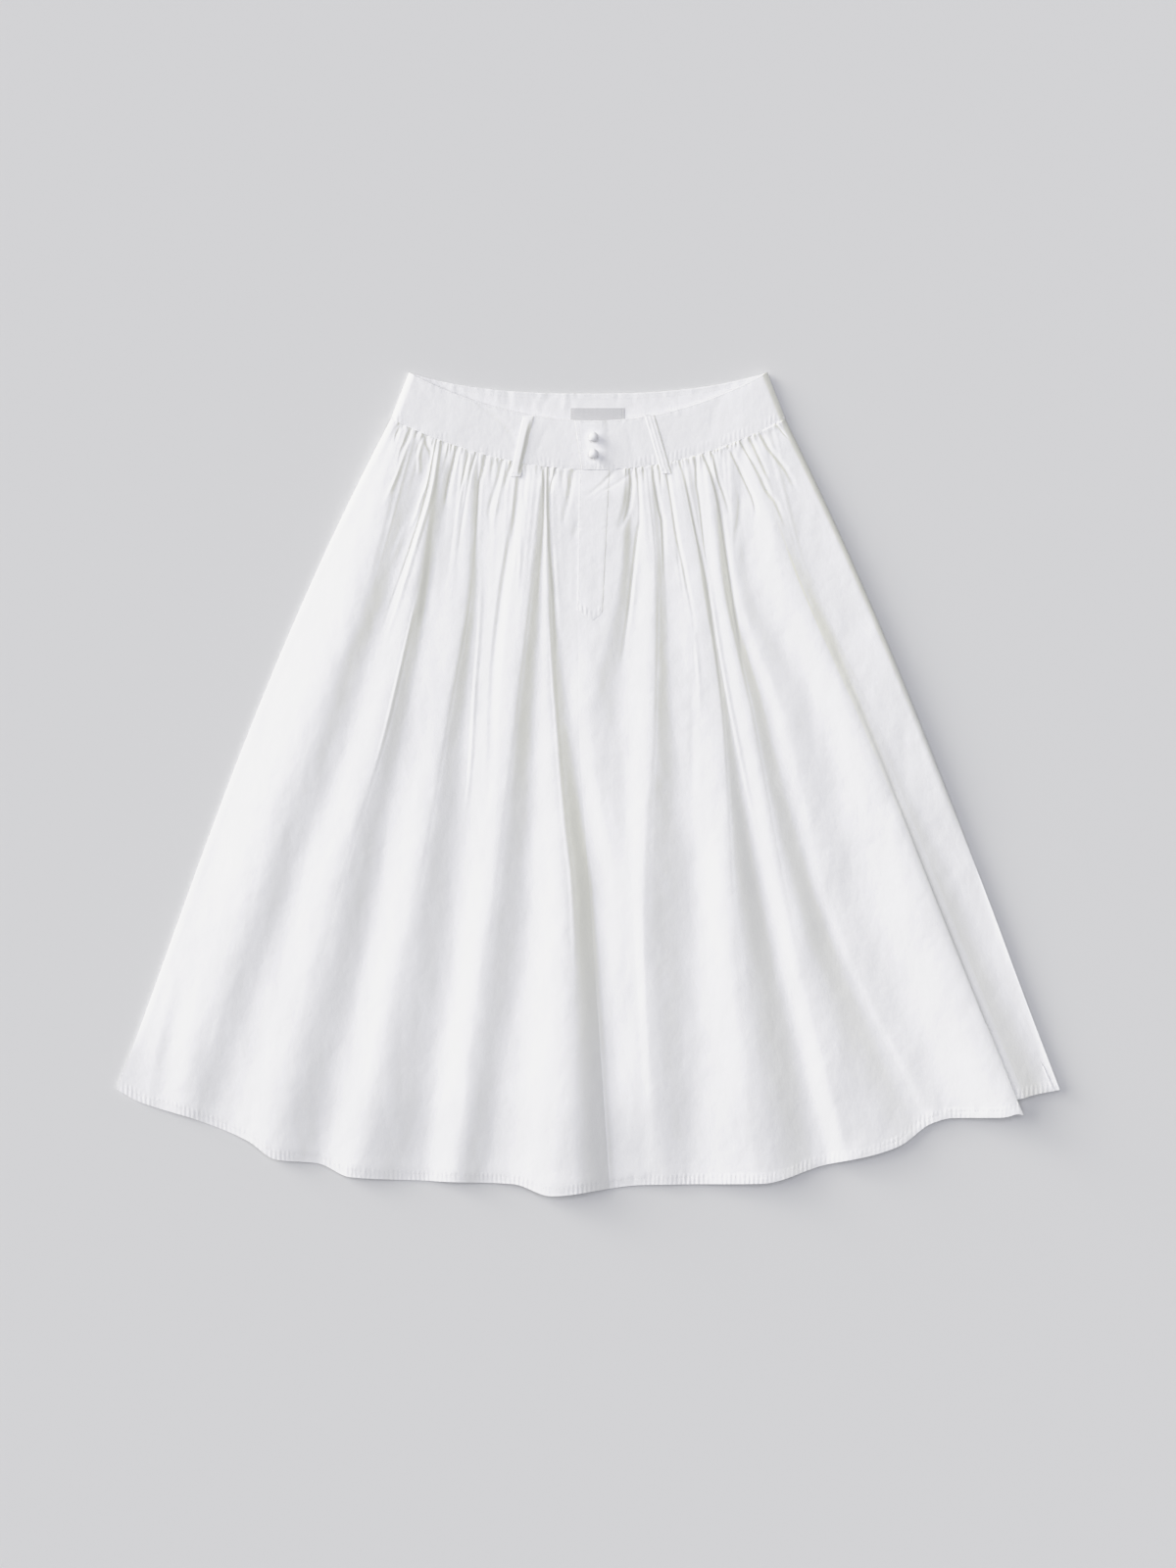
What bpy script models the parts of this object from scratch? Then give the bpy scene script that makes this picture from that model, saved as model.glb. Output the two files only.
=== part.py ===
"""A full gathered skirt of white cotton, laid flat on its back.

The skirt is a flattened tube: a back panel on the table, and two front panels over it that meet at
the centre-front seam. A shaped band closes the top. The front of the band dips below the back, so
the inside of the back band shows above it. +X is the right as laid, +Y runs up to the waist, and +Z
is up. Tables and sizes are in millimetres. A drop is a distance down from the band's top corners.
"""

import math
from collections import namedtuple

import bmesh
import bpy
import numpy as np

MM = 0.001

# Overall sizes of the skirt as it lies.
HEM_HALF = 456.5
LENGTH = 797.0
WAIST_HALF = 173.5
BAND_FOOT_HALF = 191.0
BAND_HEIGHT = 48.0
BAND_SIDE_DROP = 45.0
HEM_CORNER_DROP = 694.5

# Cloth walls and the gaps between pieces.
PANEL_WALL = 1.2
BAND_WALL = 1.4
PLACKET_WALL = 1.0
TRIM_WALL = 1.1
GAP = 0.3
SEAM_GAP = 0.6
SIDE_GAP = 1.6

# The layers, counted up from the table.
BACK_BAND_Z = 1.5
FRONT_BAND_Z = 8.0
FRONT_BAND_LIFT = 1.6
OVERLAP_RISE = 1.9
SIDE_Z = (4.6, 7.0)
SIDE_ROUND = 7.0
SIDE_SHARES = (0.0, 0.02, 0.12, 0.4, 1.0)
BAND_SIDE_ROUND = 6.0
FRONT_BAND_EDGE_Z = 6.3
BACK_BAND_EDGE_Z = 3.1
TURN_ROUND = 28.0

# How far each side seam bows out of a straight line, below the band.
SIDE_BOW_LEFT = 14.0
SIDE_BOW_RIGHT = 10.0

# The band's edges, as drops at the middle of the skirt.
FRONT_TOP_DROP = 46.7
FRONT_DIP_X = 5.0
BACK_TOP_DROP = 20.2
BACK_TOP_POWER = 2.6
GATHER_SEAM_DROP = 94.5
GATHER_SEAM_X = 8.0

# The centre-front closure.
OVERLAP_X = -11.0
UNDERLAP_X = 15.0
PLACKET_WIDTH = 27.0
PLACKET_DROP = 244.0
PLACKET_POINT = 9.0
PLACKET_LIFT = 0.4

# Rows of the front panels, from the seam to the hem.
PANEL_ROWS = 13

# Where the fold table is given, as drops.
STATIONS = (100, 190, 330, 520, 760)

# One row for each fold of the front. crest is the line along its top, and fall the distance from
# there to the hollow on its right. high and low are the heights of the crest and of the hollow.
Fold = namedtuple("Fold", "crest fall high low")
FOLDS = (
    Fold((-187, -210, -258, -326, -404), (29, 25, 32, 32, 28), (13, 15, 16, 16, 13), (10, 11, 12, 11.5, 10)),
    Fold((-147, -165, -194, -250, -304), (13, 18, 21, 38, 44), (12.5, 13.5, 16, 17.5, 17.5), (8, 8.5, 10, 12, 12.5)),
    Fold((-113, -116, -138, -171, -217), (8, 10, 20, 40, 44), (9.5, 11, 14.5, 18, 18.5), (8, 9, 10.5, 12.5, 13)),
    Fold((-46, -56, -72, -94, -124), (4, 12, 21, 35, 30), (13, 14, 15, 18.5, 18.5), (11.5, 10.5, 10.5, 13, 13.5)),
    Fold((-41, -40, -35, -21, -16), (8, 8, 17, 32, 46), (12, 12, 13.5, 19.5, 20), (8, 8, 10, 12, 12.5)),
    Fold((35, 31, 4, 30, 42), (8, 12, 26, 12, 10), (10.5, 11.5, 12, 14.5, 15), (8, 8, 10, 16.5, 16.5)),
    Fold((56, 64, 62, 56, 64), (15, 11, 21, 37, 36), (9.5, 10.5, 14, 19, 18.5), (8, 8, 10, 13.5, 13.5)),
    Fold((88, 107, 128, 143, 166), (18, 8, 9, 30, 48), (10, 11, 12.5, 17, 17.5), (8.5, 8.5, 10.5, 12.5, 12)),
    Fold((118, 127, 156, 205, 266), (11, 9, 17, 21, 48), (11, 12, 14, 16.5, 16.5), (8, 8, 9.5, 13.5, 12)),
    Fold((140, 144, 190, 244, 327), (7, 10, 30, 26, 19), (9, 9, 12, 13, 12.5), (8, 8, 10, 11.5, 13.5)),
    Fold((163, 196, 257, 333, 429), (32, 20, 11, 18, 10), (14, 14.5, 15.5, 18, 22), (11.5, 12, 13.3, 11, 6)),
)
EDGE_HIGH = ((9, 9, 9.5, 9.5, 8), (11, 14, 18, 18, 13))
CREASE_LEAN = (0, 0, 1, 4, 6)

# The line of the centre-front seam at the same stations.
SEAM_LINE = (-10, -10, -9, 3, 19)

# The hem of the front, as drops along it.
HemPoint = namedtuple("HemPoint", "x drop")
HEM = (
    HemPoint(-456.5, 694.5),
    HemPoint(-436, 706),
    HemPoint(-379, 724),
    HemPoint(-330, 744),
    HemPoint(-302, 762),
    HemPoint(-262, 766),
    HemPoint(-230, 779),
    HemPoint(-154, 783),
    HemPoint(-72, 786),
    HemPoint(-36, LENGTH),
    HemPoint(16, 791),
    HemPoint(52, 787),
    HemPoint(168, 785),
    HemPoint(227, 768),
    HemPoint(278, 757),
    HemPoint(303, 748),
    HemPoint(333, 727),
    HemPoint(352, 722),
    HemPoint(398, 721),
    HemPoint(412, 717),
    HemPoint(420, 704),
    HemPoint(456.5, 694.5),
)

# Folds of the back panel that lift off the table: a line from near the band to the hem.
BackFold = namedtuple("BackFold", "top hem width height")
BACK_FOLDS = (
    BackFold(-170, -300, 15, 5.0),
    BackFold(-112, -214, 14, 4.5),
    BackFold(-50, -122, 15, 5.0),
    BackFold(64, 62, 15, 5.0),
    BackFold(122, 168, 13, 4.0),
)
BACK_FOLD_DROPS = (190, 760)
BACK_FOLD_START = 170.0
BACK_FOLD_FADE = 180.0
BACK_HEM_SHORTER = 8.0

# Belt loops: the middle of the upper end and of the foot, as x and drop.
Loop = namedtuple("Loop", "name top_x top_drop foot_x foot_drop width")
FRONT_LOOPS = (
    Loop("loop_front_left", -57.5, 42.6, -69.5, 99.0, 10.0),
    Loop("loop_front_right", 59.5, 41.6, 75.0, 95.0, 10.5),
)
BACK_LOOPS = (
    Loop("loop_back_left", -95.0, 17.0, -99.0, 66.0, 10.0),
    Loop("loop_back_right", 95.0, 17.0, 99.0, 66.0, 10.0),
)
LOOP_STAND = 2.6
LOOP_FOOT_CLEAR = 3.0

# Buttons and label.
BUTTON_X = 5.3
BUTTON_DROPS = (63.3, 79.5)
BUTTON_RADIUS = 4.7
BUTTON_HEIGHT = 8.6
SHANK_RADIUS = 1.7
SHANK_HEIGHT = 1.3
LABEL_X = (-17.0, 35.5)
LABEL_DROPS = (34.4, 58.4)

COTTON_WHITE = (0.86, 0.86, 0.87, 1.0)
LABEL_GREY = (0.62, 0.62, 0.64, 1.0)


def ease(t):
    """A smooth step from 0 to 1."""
    t = np.clip(t, 0.0, 1.0)
    return t * t * (3.0 - 2.0 * t)


def smooth_curve(x, knots, values):
    """Reads a curve through the knots, flat at its highs and lows and with no overshoot.

    knots and values have one row for each x, in rising order. Past its ends the curve runs straight.
    """
    step = np.diff(knots, axis=1)
    rise = np.diff(values, axis=1) / step
    before, after = rise[:, :-1], rise[:, 1:]
    same_way = before * after > 0
    safe_before = np.where(same_way, before, 1.0)
    safe_after = np.where(same_way, after, 1.0)
    inner = np.where(same_way, 2.0 / (1.0 / safe_before + 1.0 / safe_after), 0.0)
    slope = np.concatenate([rise[:, :1], inner, rise[:, -1:]], axis=1)
    row = np.arange(len(x))
    k = np.sum(x[:, None] > knots[:, 1:-1], axis=1)
    h = step[row, k]
    t = (x - knots[row, k]) / h
    u = np.clip(t, 0.0, 1.0)
    value = (
        values[row, k] * (1 + 2 * u) * (1 - u) ** 2
        + slope[row, k] * h * u * (1 - u) ** 2
        + values[row, k + 1] * u * u * (3 - 2 * u)
        + slope[row, k + 1] * h * u * u * (u - 1)
    )
    beyond = np.where(t < 0, slope[row, k] * t * h, slope[row, k + 1] * (t - u) * h)
    return value + np.where((t < 0) | (t > 1), beyond, 0.0)


def along(x, knots, values):
    """smooth_curve for one curve that all the points share."""
    n = len(x)
    return smooth_curve(x, np.tile(np.array(knots, float), (n, 1)), np.tile(np.array(values, float), (n, 1)))


def side_x(drop, side):
    """The outline of the skirt at its left (-1) or right (+1) side."""
    v = (drop - BAND_SIDE_DROP) / (HEM_CORNER_DROP - BAND_SIDE_DROP)
    u = np.clip(v, 0.0, 1.0)
    bow = (SIDE_BOW_LEFT if side < 0 else SIDE_BOW_RIGHT) * 5.38 * u * (1 - u) ** 1.5
    return side * (BAND_FOOT_HALF + (HEM_HALF - BAND_FOOT_HALF) * v + bow)


def seam_drop(x):
    """The gathered seam under the front band."""
    half = np.where(x < GATHER_SEAM_X, BAND_FOOT_HALF + GATHER_SEAM_X, BAND_FOOT_HALF - GATHER_SEAM_X)
    return GATHER_SEAM_DROP - (GATHER_SEAM_DROP - BAND_SIDE_DROP) * ((x - GATHER_SEAM_X) / half) ** 2


def front_top_drop(x):
    """The dipped top edge of the front band."""
    half = np.where(x < FRONT_DIP_X, WAIST_HALF + FRONT_DIP_X, WAIST_HALF - FRONT_DIP_X)
    return FRONT_TOP_DROP * (1 - np.abs((x - FRONT_DIP_X) / half) ** 2)


def back_top_drop(x):
    """The top edge of the back band."""
    return BACK_TOP_DROP * (1 - np.abs(x / WAIST_HALF) ** BACK_TOP_POWER)


def back_seam_drop(x):
    """The gathered seam under the back band."""
    lowest = BACK_TOP_DROP + BAND_HEIGHT
    return lowest - (lowest - BAND_SIDE_DROP) * np.abs(x / BAND_FOOT_HALF) ** BACK_TOP_POWER


def hem_drop(x):
    """The hem of the front, and of the strip that shows beyond the right-hand crease."""
    return along(x, [p.x for p in HEM], [p.drop for p in HEM])


def back_hem_drop(x):
    """The hem of the back, just short of the front's except at the side corners."""
    middle = 1 - np.abs(x / HEM_HALF) ** 6
    right = HEM_CORNER_DROP + (HEM_HALF - x) * 0.3
    return np.where(x > 400, np.minimum(hem_drop(x), right), hem_drop(x)) - BACK_HEM_SHORTER * middle


def fold_line(column, drop, shift=None):
    """The x of a line of the fold table at each drop."""
    values = np.array(column, float)
    if shift is not None:
        values = values + np.array(shift, float)
    return along(drop, STATIONS, values)


def fold_knots(drop):
    """The fold lines' places and heights at each drop, from the left outline to the right one."""
    xs = [side_x(drop, -1)]
    zs = [along(drop, STATIONS, EDGE_HIGH[0])]
    for fold in FOLDS:
        xs.append(fold_line(fold.crest, drop))
        zs.append(along(drop, STATIONS, fold.high))
        xs.append(fold_line(fold.crest, drop, fold.fall))
        zs.append(along(drop, STATIONS, fold.low))
    xs.append(side_x(drop, 1))
    zs.append(along(drop, STATIONS, EDGE_HIGH[1]))
    xs, zs = np.stack(xs, axis=1), np.stack(zs, axis=1)
    spaced = np.maximum.accumulate(xs + np.arange(xs.shape[1]) * -1.5, axis=1)
    return spaced + np.arange(xs.shape[1]) * 1.5, zs


def front_band_z(x):
    """The upper surface of the front band, higher towards its right end."""
    return FRONT_BAND_Z + FRONT_BAND_LIFT * ease((x - 100) / 70)


def side_z(drop):
    """The height where front and back meet at the side edges."""
    return SIDE_Z[0] + (SIDE_Z[1] - SIDE_Z[0]) * ease((drop - 60) / 150)


def rounded_side(x, drop, round_width):
    """0 at the side outlines and 1 inside them, along a quarter circle."""
    inside = np.minimum(x - side_x(drop, -1), side_x(drop, 1) - x)
    u = np.clip(inside / round_width, 0.0, 1.0)
    return np.sqrt(1 - (1 - u) ** 2)


def front_height(x, drop):
    """The upper surface of the front panels."""
    xs, zs = fold_knots(drop)
    z = smooth_curve(x, xs, zs)
    at_seam = front_band_z(x) - 0.3
    z = at_seam + (z - at_seam) * ease((drop - seam_drop(x)) / TURN_ROUND)
    edge = side_z(drop) + SIDE_GAP / 2
    return edge + (z - edge) * rounded_side(x, drop, SIDE_ROUND)


def crease_lean(x, drop):
    """How far the right-hand crease hangs over, which makes its edge a fold."""
    crest = fold_line(FOLDS[-1].crest, drop)
    t = np.clip((x - crest) / fold_line(FOLDS[-1].fall, drop), 0.0, 1.0)
    return along(drop, STATIONS, CREASE_LEAN) * np.sin(2 * math.pi * t)


def back_height(x, drop):
    """The under surface of the back panel: flat on the table but for its folds."""
    z = BACK_BAND_Z * (1 - ease((drop - back_seam_drop(x)) / TURN_ROUND))
    for fold in BACK_FOLDS:
        across = np.clip(np.abs(x - back_fold_line(fold, 0)(drop)) / fold.width, 0.0, 1.0)
        z = z + fold.height * ease((drop - BACK_FOLD_START) / BACK_FOLD_FADE) * ease(1 - across)
    edge = side_z(drop) - SIDE_GAP / 2
    return edge + (z - edge) * rounded_side(x, drop, SIDE_ROUND)


def points(x, drop, z):
    """World places, in metres, from the skirt's own measures."""
    return np.stack([x * MM, (LENGTH / 2 - drop) * MM, z * MM], axis=-1)


def material(name, colour, roughness):
    """A plain cloth or thread finish."""
    made = bpy.data.materials.new(name)
    made.use_nodes = True
    shader = made.node_tree.nodes["Principled BSDF"]
    shader.inputs["Base Color"].default_value = colour
    shader.inputs["Roughness"].default_value = roughness
    shader.inputs["Metallic"].default_value = 0.0
    return made


def cloth_wall(name, grid, wall, finish, outward=False):
    """A grid of points, rows down and columns to the right, made a cloth wall.

    The wall grows down from the points, or up from them when outward is set.
    """
    rows, columns = grid.shape[:2]
    mesh = bpy.data.meshes.new(name)
    faces = [
        (i * columns + j, (i + 1) * columns + j, (i + 1) * columns + j + 1, i * columns + j + 1)
        for i in range(rows - 1)
        for j in range(columns - 1)
    ]
    mesh.from_pydata(grid.reshape(-1, 3).tolist(), [], faces)
    mesh.update()
    mesh.shade_smooth()
    mesh.materials.append(finish)
    piece = bpy.data.objects.new(name, mesh)
    bpy.context.scene.collection.objects.link(piece)
    thick = piece.modifiers.new("Wall", "SOLIDIFY")
    thick.thickness = wall * MM
    thick.offset = 1.0 if outward else -1.0
    return piece


def split_columns(counts):
    """Columns between neighbouring lines: the number of the line on the left, and the share past it."""
    table = [(k, step / count) for k, count in enumerate(counts) for step in range(count)]
    return table + [(len(counts) - 1, 1.0)]


def panel_grid(lines, counts, shares, top, foot, height, lean=None, trim=None):
    """A panel's points: columns between the lines, from its top edge down to its hem.

    lean moves points sideways, and trim gives other drops to a column's points.
    """
    columns = []
    for k, share in split_columns(counts):
        left, right = lines[k], lines[k + 1]
        first, last = np.array([70.0]), np.array([740.0])
        for _ in range(12):
            first = top(left(first) * (1 - share) + right(first) * share)
            last = foot(left(last) * (1 - share) + right(last) * share)
        drop = first + (last - first) * np.array(shares)
        x = left(drop) * (1 - share) + right(drop) * share
        if trim is not None:
            drop = trim(x, drop)
        z = height(x, drop)
        if lean is not None:
            x = x + lean(x, drop)
        columns.append(points(x, drop, z))
    return np.stack(columns, axis=1)


def inset_line(side, share):
    """A line that follows a side outline, a share of the rounded edge's width inside it."""
    return lambda drop: side_x(drop, side) - side * share * SIDE_ROUND


def seam_line(offset=0.0):
    """The centre-front seam, moved sideways."""
    return lambda drop: along(drop, STATIONS, SEAM_LINE) + offset


def crest_line(k):
    """The line along the top of a fold."""
    return lambda drop: fold_line(FOLDS[k].crest, drop)


def hollow_line(k):
    """The line along the hollow at a fold's right."""
    return lambda drop: fold_line(FOLDS[k].crest, drop, FOLDS[k].fall)


def left_of(line, other, gap):
    """A line kept to the left of another."""
    return lambda drop: np.minimum(line(drop), other(drop) - gap)


def right_of(line, other, gap):
    """A line kept to the right of another."""
    return lambda drop: np.maximum(line(drop), other(drop) + gap)


def back_fold_line(fold, edge):
    """The middle (0) or an edge (-1 or 1) of a fold of the back panel."""
    slant = (fold.hem - fold.top) / (BACK_FOLD_DROPS[1] - BACK_FOLD_DROPS[0])
    return lambda drop: fold.top + slant * (drop - BACK_FOLD_DROPS[0]) + edge * fold.width


def panel_shares(rows):
    """Row places from the seam to the hem, closer together under the gathers."""
    return [(i / rows) ** 1.6 for i in range(rows + 1)]


def make_front_left(finish):
    """From the left side fold to the centre-front seam."""
    seam = seam_line(-GAP / 2)
    lines = [inset_line(-1, share) for share in SIDE_SHARES]
    for k in range(5):
        lines += [crest_line(k), hollow_line(k)]
    lines = [left_of(line, seam, 4.0) for line in lines] + [seam]
    counts = [1, 1, 1, 1, 3, 3, 2, 3, 2, 3, 3, 2, 4, 2, 2]
    shares = panel_shares(PANEL_ROWS)
    grid = panel_grid(lines, counts, shares, lambda x: seam_drop(x) + SEAM_GAP, hem_drop, front_height)
    return cloth_wall("front_left", grid, PANEL_WALL, finish)


def make_front_right(finish):
    """From the centre-front seam, over the right-hand crease, to the right side fold."""
    seam = seam_line(GAP / 2)
    placket_edge = seam_line(PLACKET_WIDTH)
    lines = [seam, seam_line(PLACKET_WIDTH / 2), placket_edge]
    for k in range(5, 11):
        lines += [crest_line(k), hollow_line(k)]
    lines = lines[:3] + [right_of(line, placket_edge, 3.0 + n) for n, line in enumerate(lines[3:])]
    lines += [inset_line(1, share) for share in SIDE_SHARES[::-1]]
    counts = [2, 2, 1, 1, 2, 2, 2, 2, 2, 2, 2, 2, 3, 6, 2, 1, 1, 1, 1]
    shares = panel_shares(PANEL_ROWS)
    grid = panel_grid(
        lines, counts, shares, lambda x: seam_drop(x) + SEAM_GAP, hem_drop, front_height, crease_lean
    )
    return cloth_wall("front_right", grid, PANEL_WALL, finish)


def make_back(finish):
    """One gathered panel on the table, with its side edges turned up to meet the front."""
    lines = [inset_line(-1, share) for share in SIDE_SHARES]
    for fold in BACK_FOLDS:
        for edge in (-1.0, 0.0, 1.0):
            lines.append(back_fold_line(fold, edge))
    lines += [inset_line(1, share) for share in SIDE_SHARES[::-1]]
    counts = [1, 1, 1, 1, 2] + [2, 2, 1] * (len(BACK_FOLDS) - 1) + [2, 2, 3, 1, 1, 1, 1]
    shares = panel_shares(10)
    grid = panel_grid(
        lines, counts, shares, lambda x: back_seam_drop(x) + SEAM_GAP, back_hem_drop, back_height
    )
    return cloth_wall("back", grid[:, ::-1], PANEL_WALL, finish)


def band_side_x(share):
    """The band's side edge, from its top corner (0) to its foot (1)."""
    return WAIST_HALF + (BAND_FOOT_HALF - WAIST_HALF) * share


def band_grid(x_from, x_to, columns, top, foot, height, rows=4):
    """A band's points between two ends. An end is a share of the way to the side edge."""
    grid = []
    for row in range(rows + 1):
        share = row / rows
        half = band_side_x(share)
        x = np.array([x_from(half) + (x_to(half) - x_from(half)) * c for c in columns])
        upper = top(x * WAIST_HALF / half)
        lower = foot(x * BAND_FOOT_HALF / half)
        drop = upper + (lower - upper) * share
        grid.append(points(x, drop, height(x, half)))
    return np.stack(grid)


def front_band_height(x, half, rise_at=None):
    """The upper surface of the front band, rounded down at the side edges."""
    z = front_band_z(x)
    if rise_at is not None:
        z = z + OVERLAP_RISE * ease((rise_at - x) / 6.0)
    u = np.clip((half - np.abs(x)) / BAND_SIDE_ROUND, 0.0, 1.0)
    return z - (z - FRONT_BAND_EDGE_Z) * (1 - u) ** 2


def back_band_height(x, half):
    """The under surface of the back band, turned up at the side edges."""
    u = np.clip((half - np.abs(x)) / BAND_SIDE_ROUND, 0.0, 1.0)
    return BACK_BAND_Z + (BACK_BAND_EDGE_Z - BACK_BAND_Z) * (1 - u) ** 2


def make_bands(finish):
    """The two halves of the front band, lapped at the buttons, and the back band."""
    to_edge = [0.0, 0.003, 0.012, 0.028]
    across = to_edge + [0.028 + 0.972 * c / 12 for c in range(1, 13)]
    left = band_grid(
        lambda half: -half, lambda half: UNDERLAP_X, across, front_top_drop, seam_drop, front_band_height
    )
    cloth_wall("band_front_left", left, BAND_WALL, finish)
    flat = [0.0, 0.05, 0.1, 0.14, 0.17]
    across = flat + [0.17 + 0.802 * c / 10 for c in range(1, 11)] + [1 - c for c in to_edge[2::-1]]
    right = band_grid(
        lambda half: OVERLAP_X,
        lambda half: half,
        across,
        front_top_drop,
        seam_drop,
        lambda x, half: front_band_height(x, half, UNDERLAP_X + 8.0),
    )
    cloth_wall("band_front_right", right, BAND_WALL, finish)
    across = [c / 2 for c in to_edge] + [0.014 + 0.972 * c / 20 for c in range(1, 21)]
    across += [1 - c / 2 for c in to_edge[2::-1]]
    back = band_grid(
        lambda half: -half, lambda half: half, across, back_top_drop, back_seam_drop, back_band_height
    )
    cloth_wall("band_back", back[:, ::-1], BAND_WALL, finish)


def placket_drops(x, drop):
    """Trims the panel's rows to the placket: just below the band, and a point at the foot."""
    across = (x - SEAM_LINE[0]) / PLACKET_WIDTH
    trimmed = drop.copy()
    trimmed[0] += 1.0
    trimmed[-1] = PLACKET_DROP - PLACKET_POINT * abs(2 * across[-1] - 1)
    return trimmed


def make_placket(finish):
    """The strip over the fly, with a pointed foot, made from the panel's points moved out."""
    lines = [seam_line(GAP / 2), seam_line(PLACKET_WIDTH / 2), seam_line(PLACKET_WIDTH)]
    rows = panel_shares(PANEL_ROWS)[:6]
    grid = panel_grid(
        lines,
        [2, 2],
        rows,
        lambda x: seam_drop(x) + SEAM_GAP,
        hem_drop,
        lambda x, drop: front_height(x, drop) + PLACKET_LIFT,
        trim=placket_drops,
    )
    return cloth_wall("fly_placket", grid, PLACKET_WALL, finish, outward=True)


def under_loop(loop, middle, drop):
    """The highest surface under a belt loop's width: the band, or the gathers below its seam."""
    across = [middle + side * loop.width for side in (-0.5, -0.25, 0.0, 0.25, 0.5)]
    below = np.maximum(drop, GATHER_SEAM_DROP) + LOOP_FOOT_CLEAR
    gathers = np.max([front_height(x, below) for x in across], axis=0)
    gathers = np.where(drop + 2 * LOOP_FOOT_CLEAR > seam_drop(middle), gathers, 0.0)
    return np.maximum(FRONT_BAND_Z, gathers)


def make_front_loop(loop, finish):
    """A strip sewn at both ends that stands clear of the band between them."""
    share = np.linspace(0, 1, 13)
    drop = loop.top_drop + (loop.foot_drop - loop.top_drop) * share
    middle = loop.top_x + (loop.foot_x - loop.top_x) * share
    stand = LOOP_STAND * np.sin(math.pi * share) ** 0.7
    z = under_loop(loop, middle, drop) + GAP + stand
    columns = [points(middle + side * loop.width, drop, z) for side in (-0.5, 0.5)]
    return cloth_wall(loop.name, np.stack(columns, axis=1), TRIM_WALL, finish, outward=True)


def make_back_loop(loop, finish):
    """A strip pressed flat between the back band and the table."""
    share = np.linspace(0, 1, 3)
    drop = loop.top_drop + (loop.foot_drop - loop.top_drop) * share
    middle = loop.top_x + (loop.foot_x - loop.top_x) * share
    z = np.zeros_like(drop)
    columns = [points(middle + side * loop.width, drop, z) for side in (-0.5, 0.5)]
    return cloth_wall(loop.name, np.stack(columns, axis=1), TRIM_WALL, finish, outward=True)


def make_button(name, drop, finish):
    """A small ball on a short shank, turned about its own axis."""
    profile = [(0.0, 0.0), (SHANK_RADIUS, 0.0), (SHANK_RADIUS, SHANK_HEIGHT)]
    half = (BUTTON_HEIGHT - SHANK_HEIGHT) / 2
    for step in range(1, 9):
        angle = -math.pi / 2 + math.pi * step / 8
        ball = (BUTTON_RADIUS * math.cos(angle), SHANK_HEIGHT + half + half * math.sin(angle))
        profile.append((0.0 if step == 8 else max(ball[0], 0.0), ball[1]))
    body = bmesh.new()
    verts = [body.verts.new((r * MM, 0, z * MM)) for r, z in profile]
    edges = [body.edges.new(pair) for pair in zip(verts, verts[1:])]
    bmesh.ops.spin(
        body, geom=verts + edges, cent=(0, 0, 0), axis=(0, 0, 1), angle=2 * math.pi, steps=16,
        use_merge=True,
    )
    bmesh.ops.remove_doubles(body, verts=body.verts, dist=0.00001)
    bmesh.ops.recalc_face_normals(body, faces=body.faces)
    mesh = bpy.data.meshes.new(name)
    body.to_mesh(mesh)
    body.free()
    mesh.shade_smooth()
    mesh.materials.append(finish)
    piece = bpy.data.objects.new(name, mesh)
    z = FRONT_BAND_Z + OVERLAP_RISE + GAP
    piece.location = (BUTTON_X * MM, (LENGTH / 2 - drop) * MM, z * MM)
    bpy.context.scene.collection.objects.link(piece)
    return piece


def make_label(finish):
    """A plain woven label sewn inside the back band."""
    x = np.array(LABEL_X)
    z = np.full_like(x, BACK_BAND_Z + BAND_WALL + GAP)
    rows = [points(x, np.full_like(x, drop), z) for drop in LABEL_DROPS]
    return cloth_wall("label", np.stack(rows), 1.0, finish, outward=True)


for old in list(bpy.data.objects):
    bpy.data.objects.remove(old)

cotton = material("cotton", COTTON_WHITE, 0.85)
button_cotton = material("button_white", COTTON_WHITE, 0.55)
label_cloth = material("label_grey", LABEL_GREY, 0.7)

make_front_left(cotton)
make_front_right(cotton)
make_back(cotton)
make_bands(cotton)
make_placket(cotton)
for front_loop in FRONT_LOOPS:
    make_front_loop(front_loop, cotton)
for back_loop in BACK_LOOPS:
    make_back_loop(back_loop, cotton)
for button_name, button_drop in zip(("button_upper", "button_lower"), BUTTON_DROPS):
    make_button(button_name, button_drop, button_cotton)
make_label(label_cloth)
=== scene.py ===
"""The looks of a full gathered skirt of white cotton, laid flat on its back.

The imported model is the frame: every piece here takes its place and size from it. +X is the right
as laid, +Y runs up to the waist, and +Z is up. Tables are in millimetres. A drop is a distance
down from the band's top corners.
"""

import math
from collections import namedtuple
from functools import partial

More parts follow.
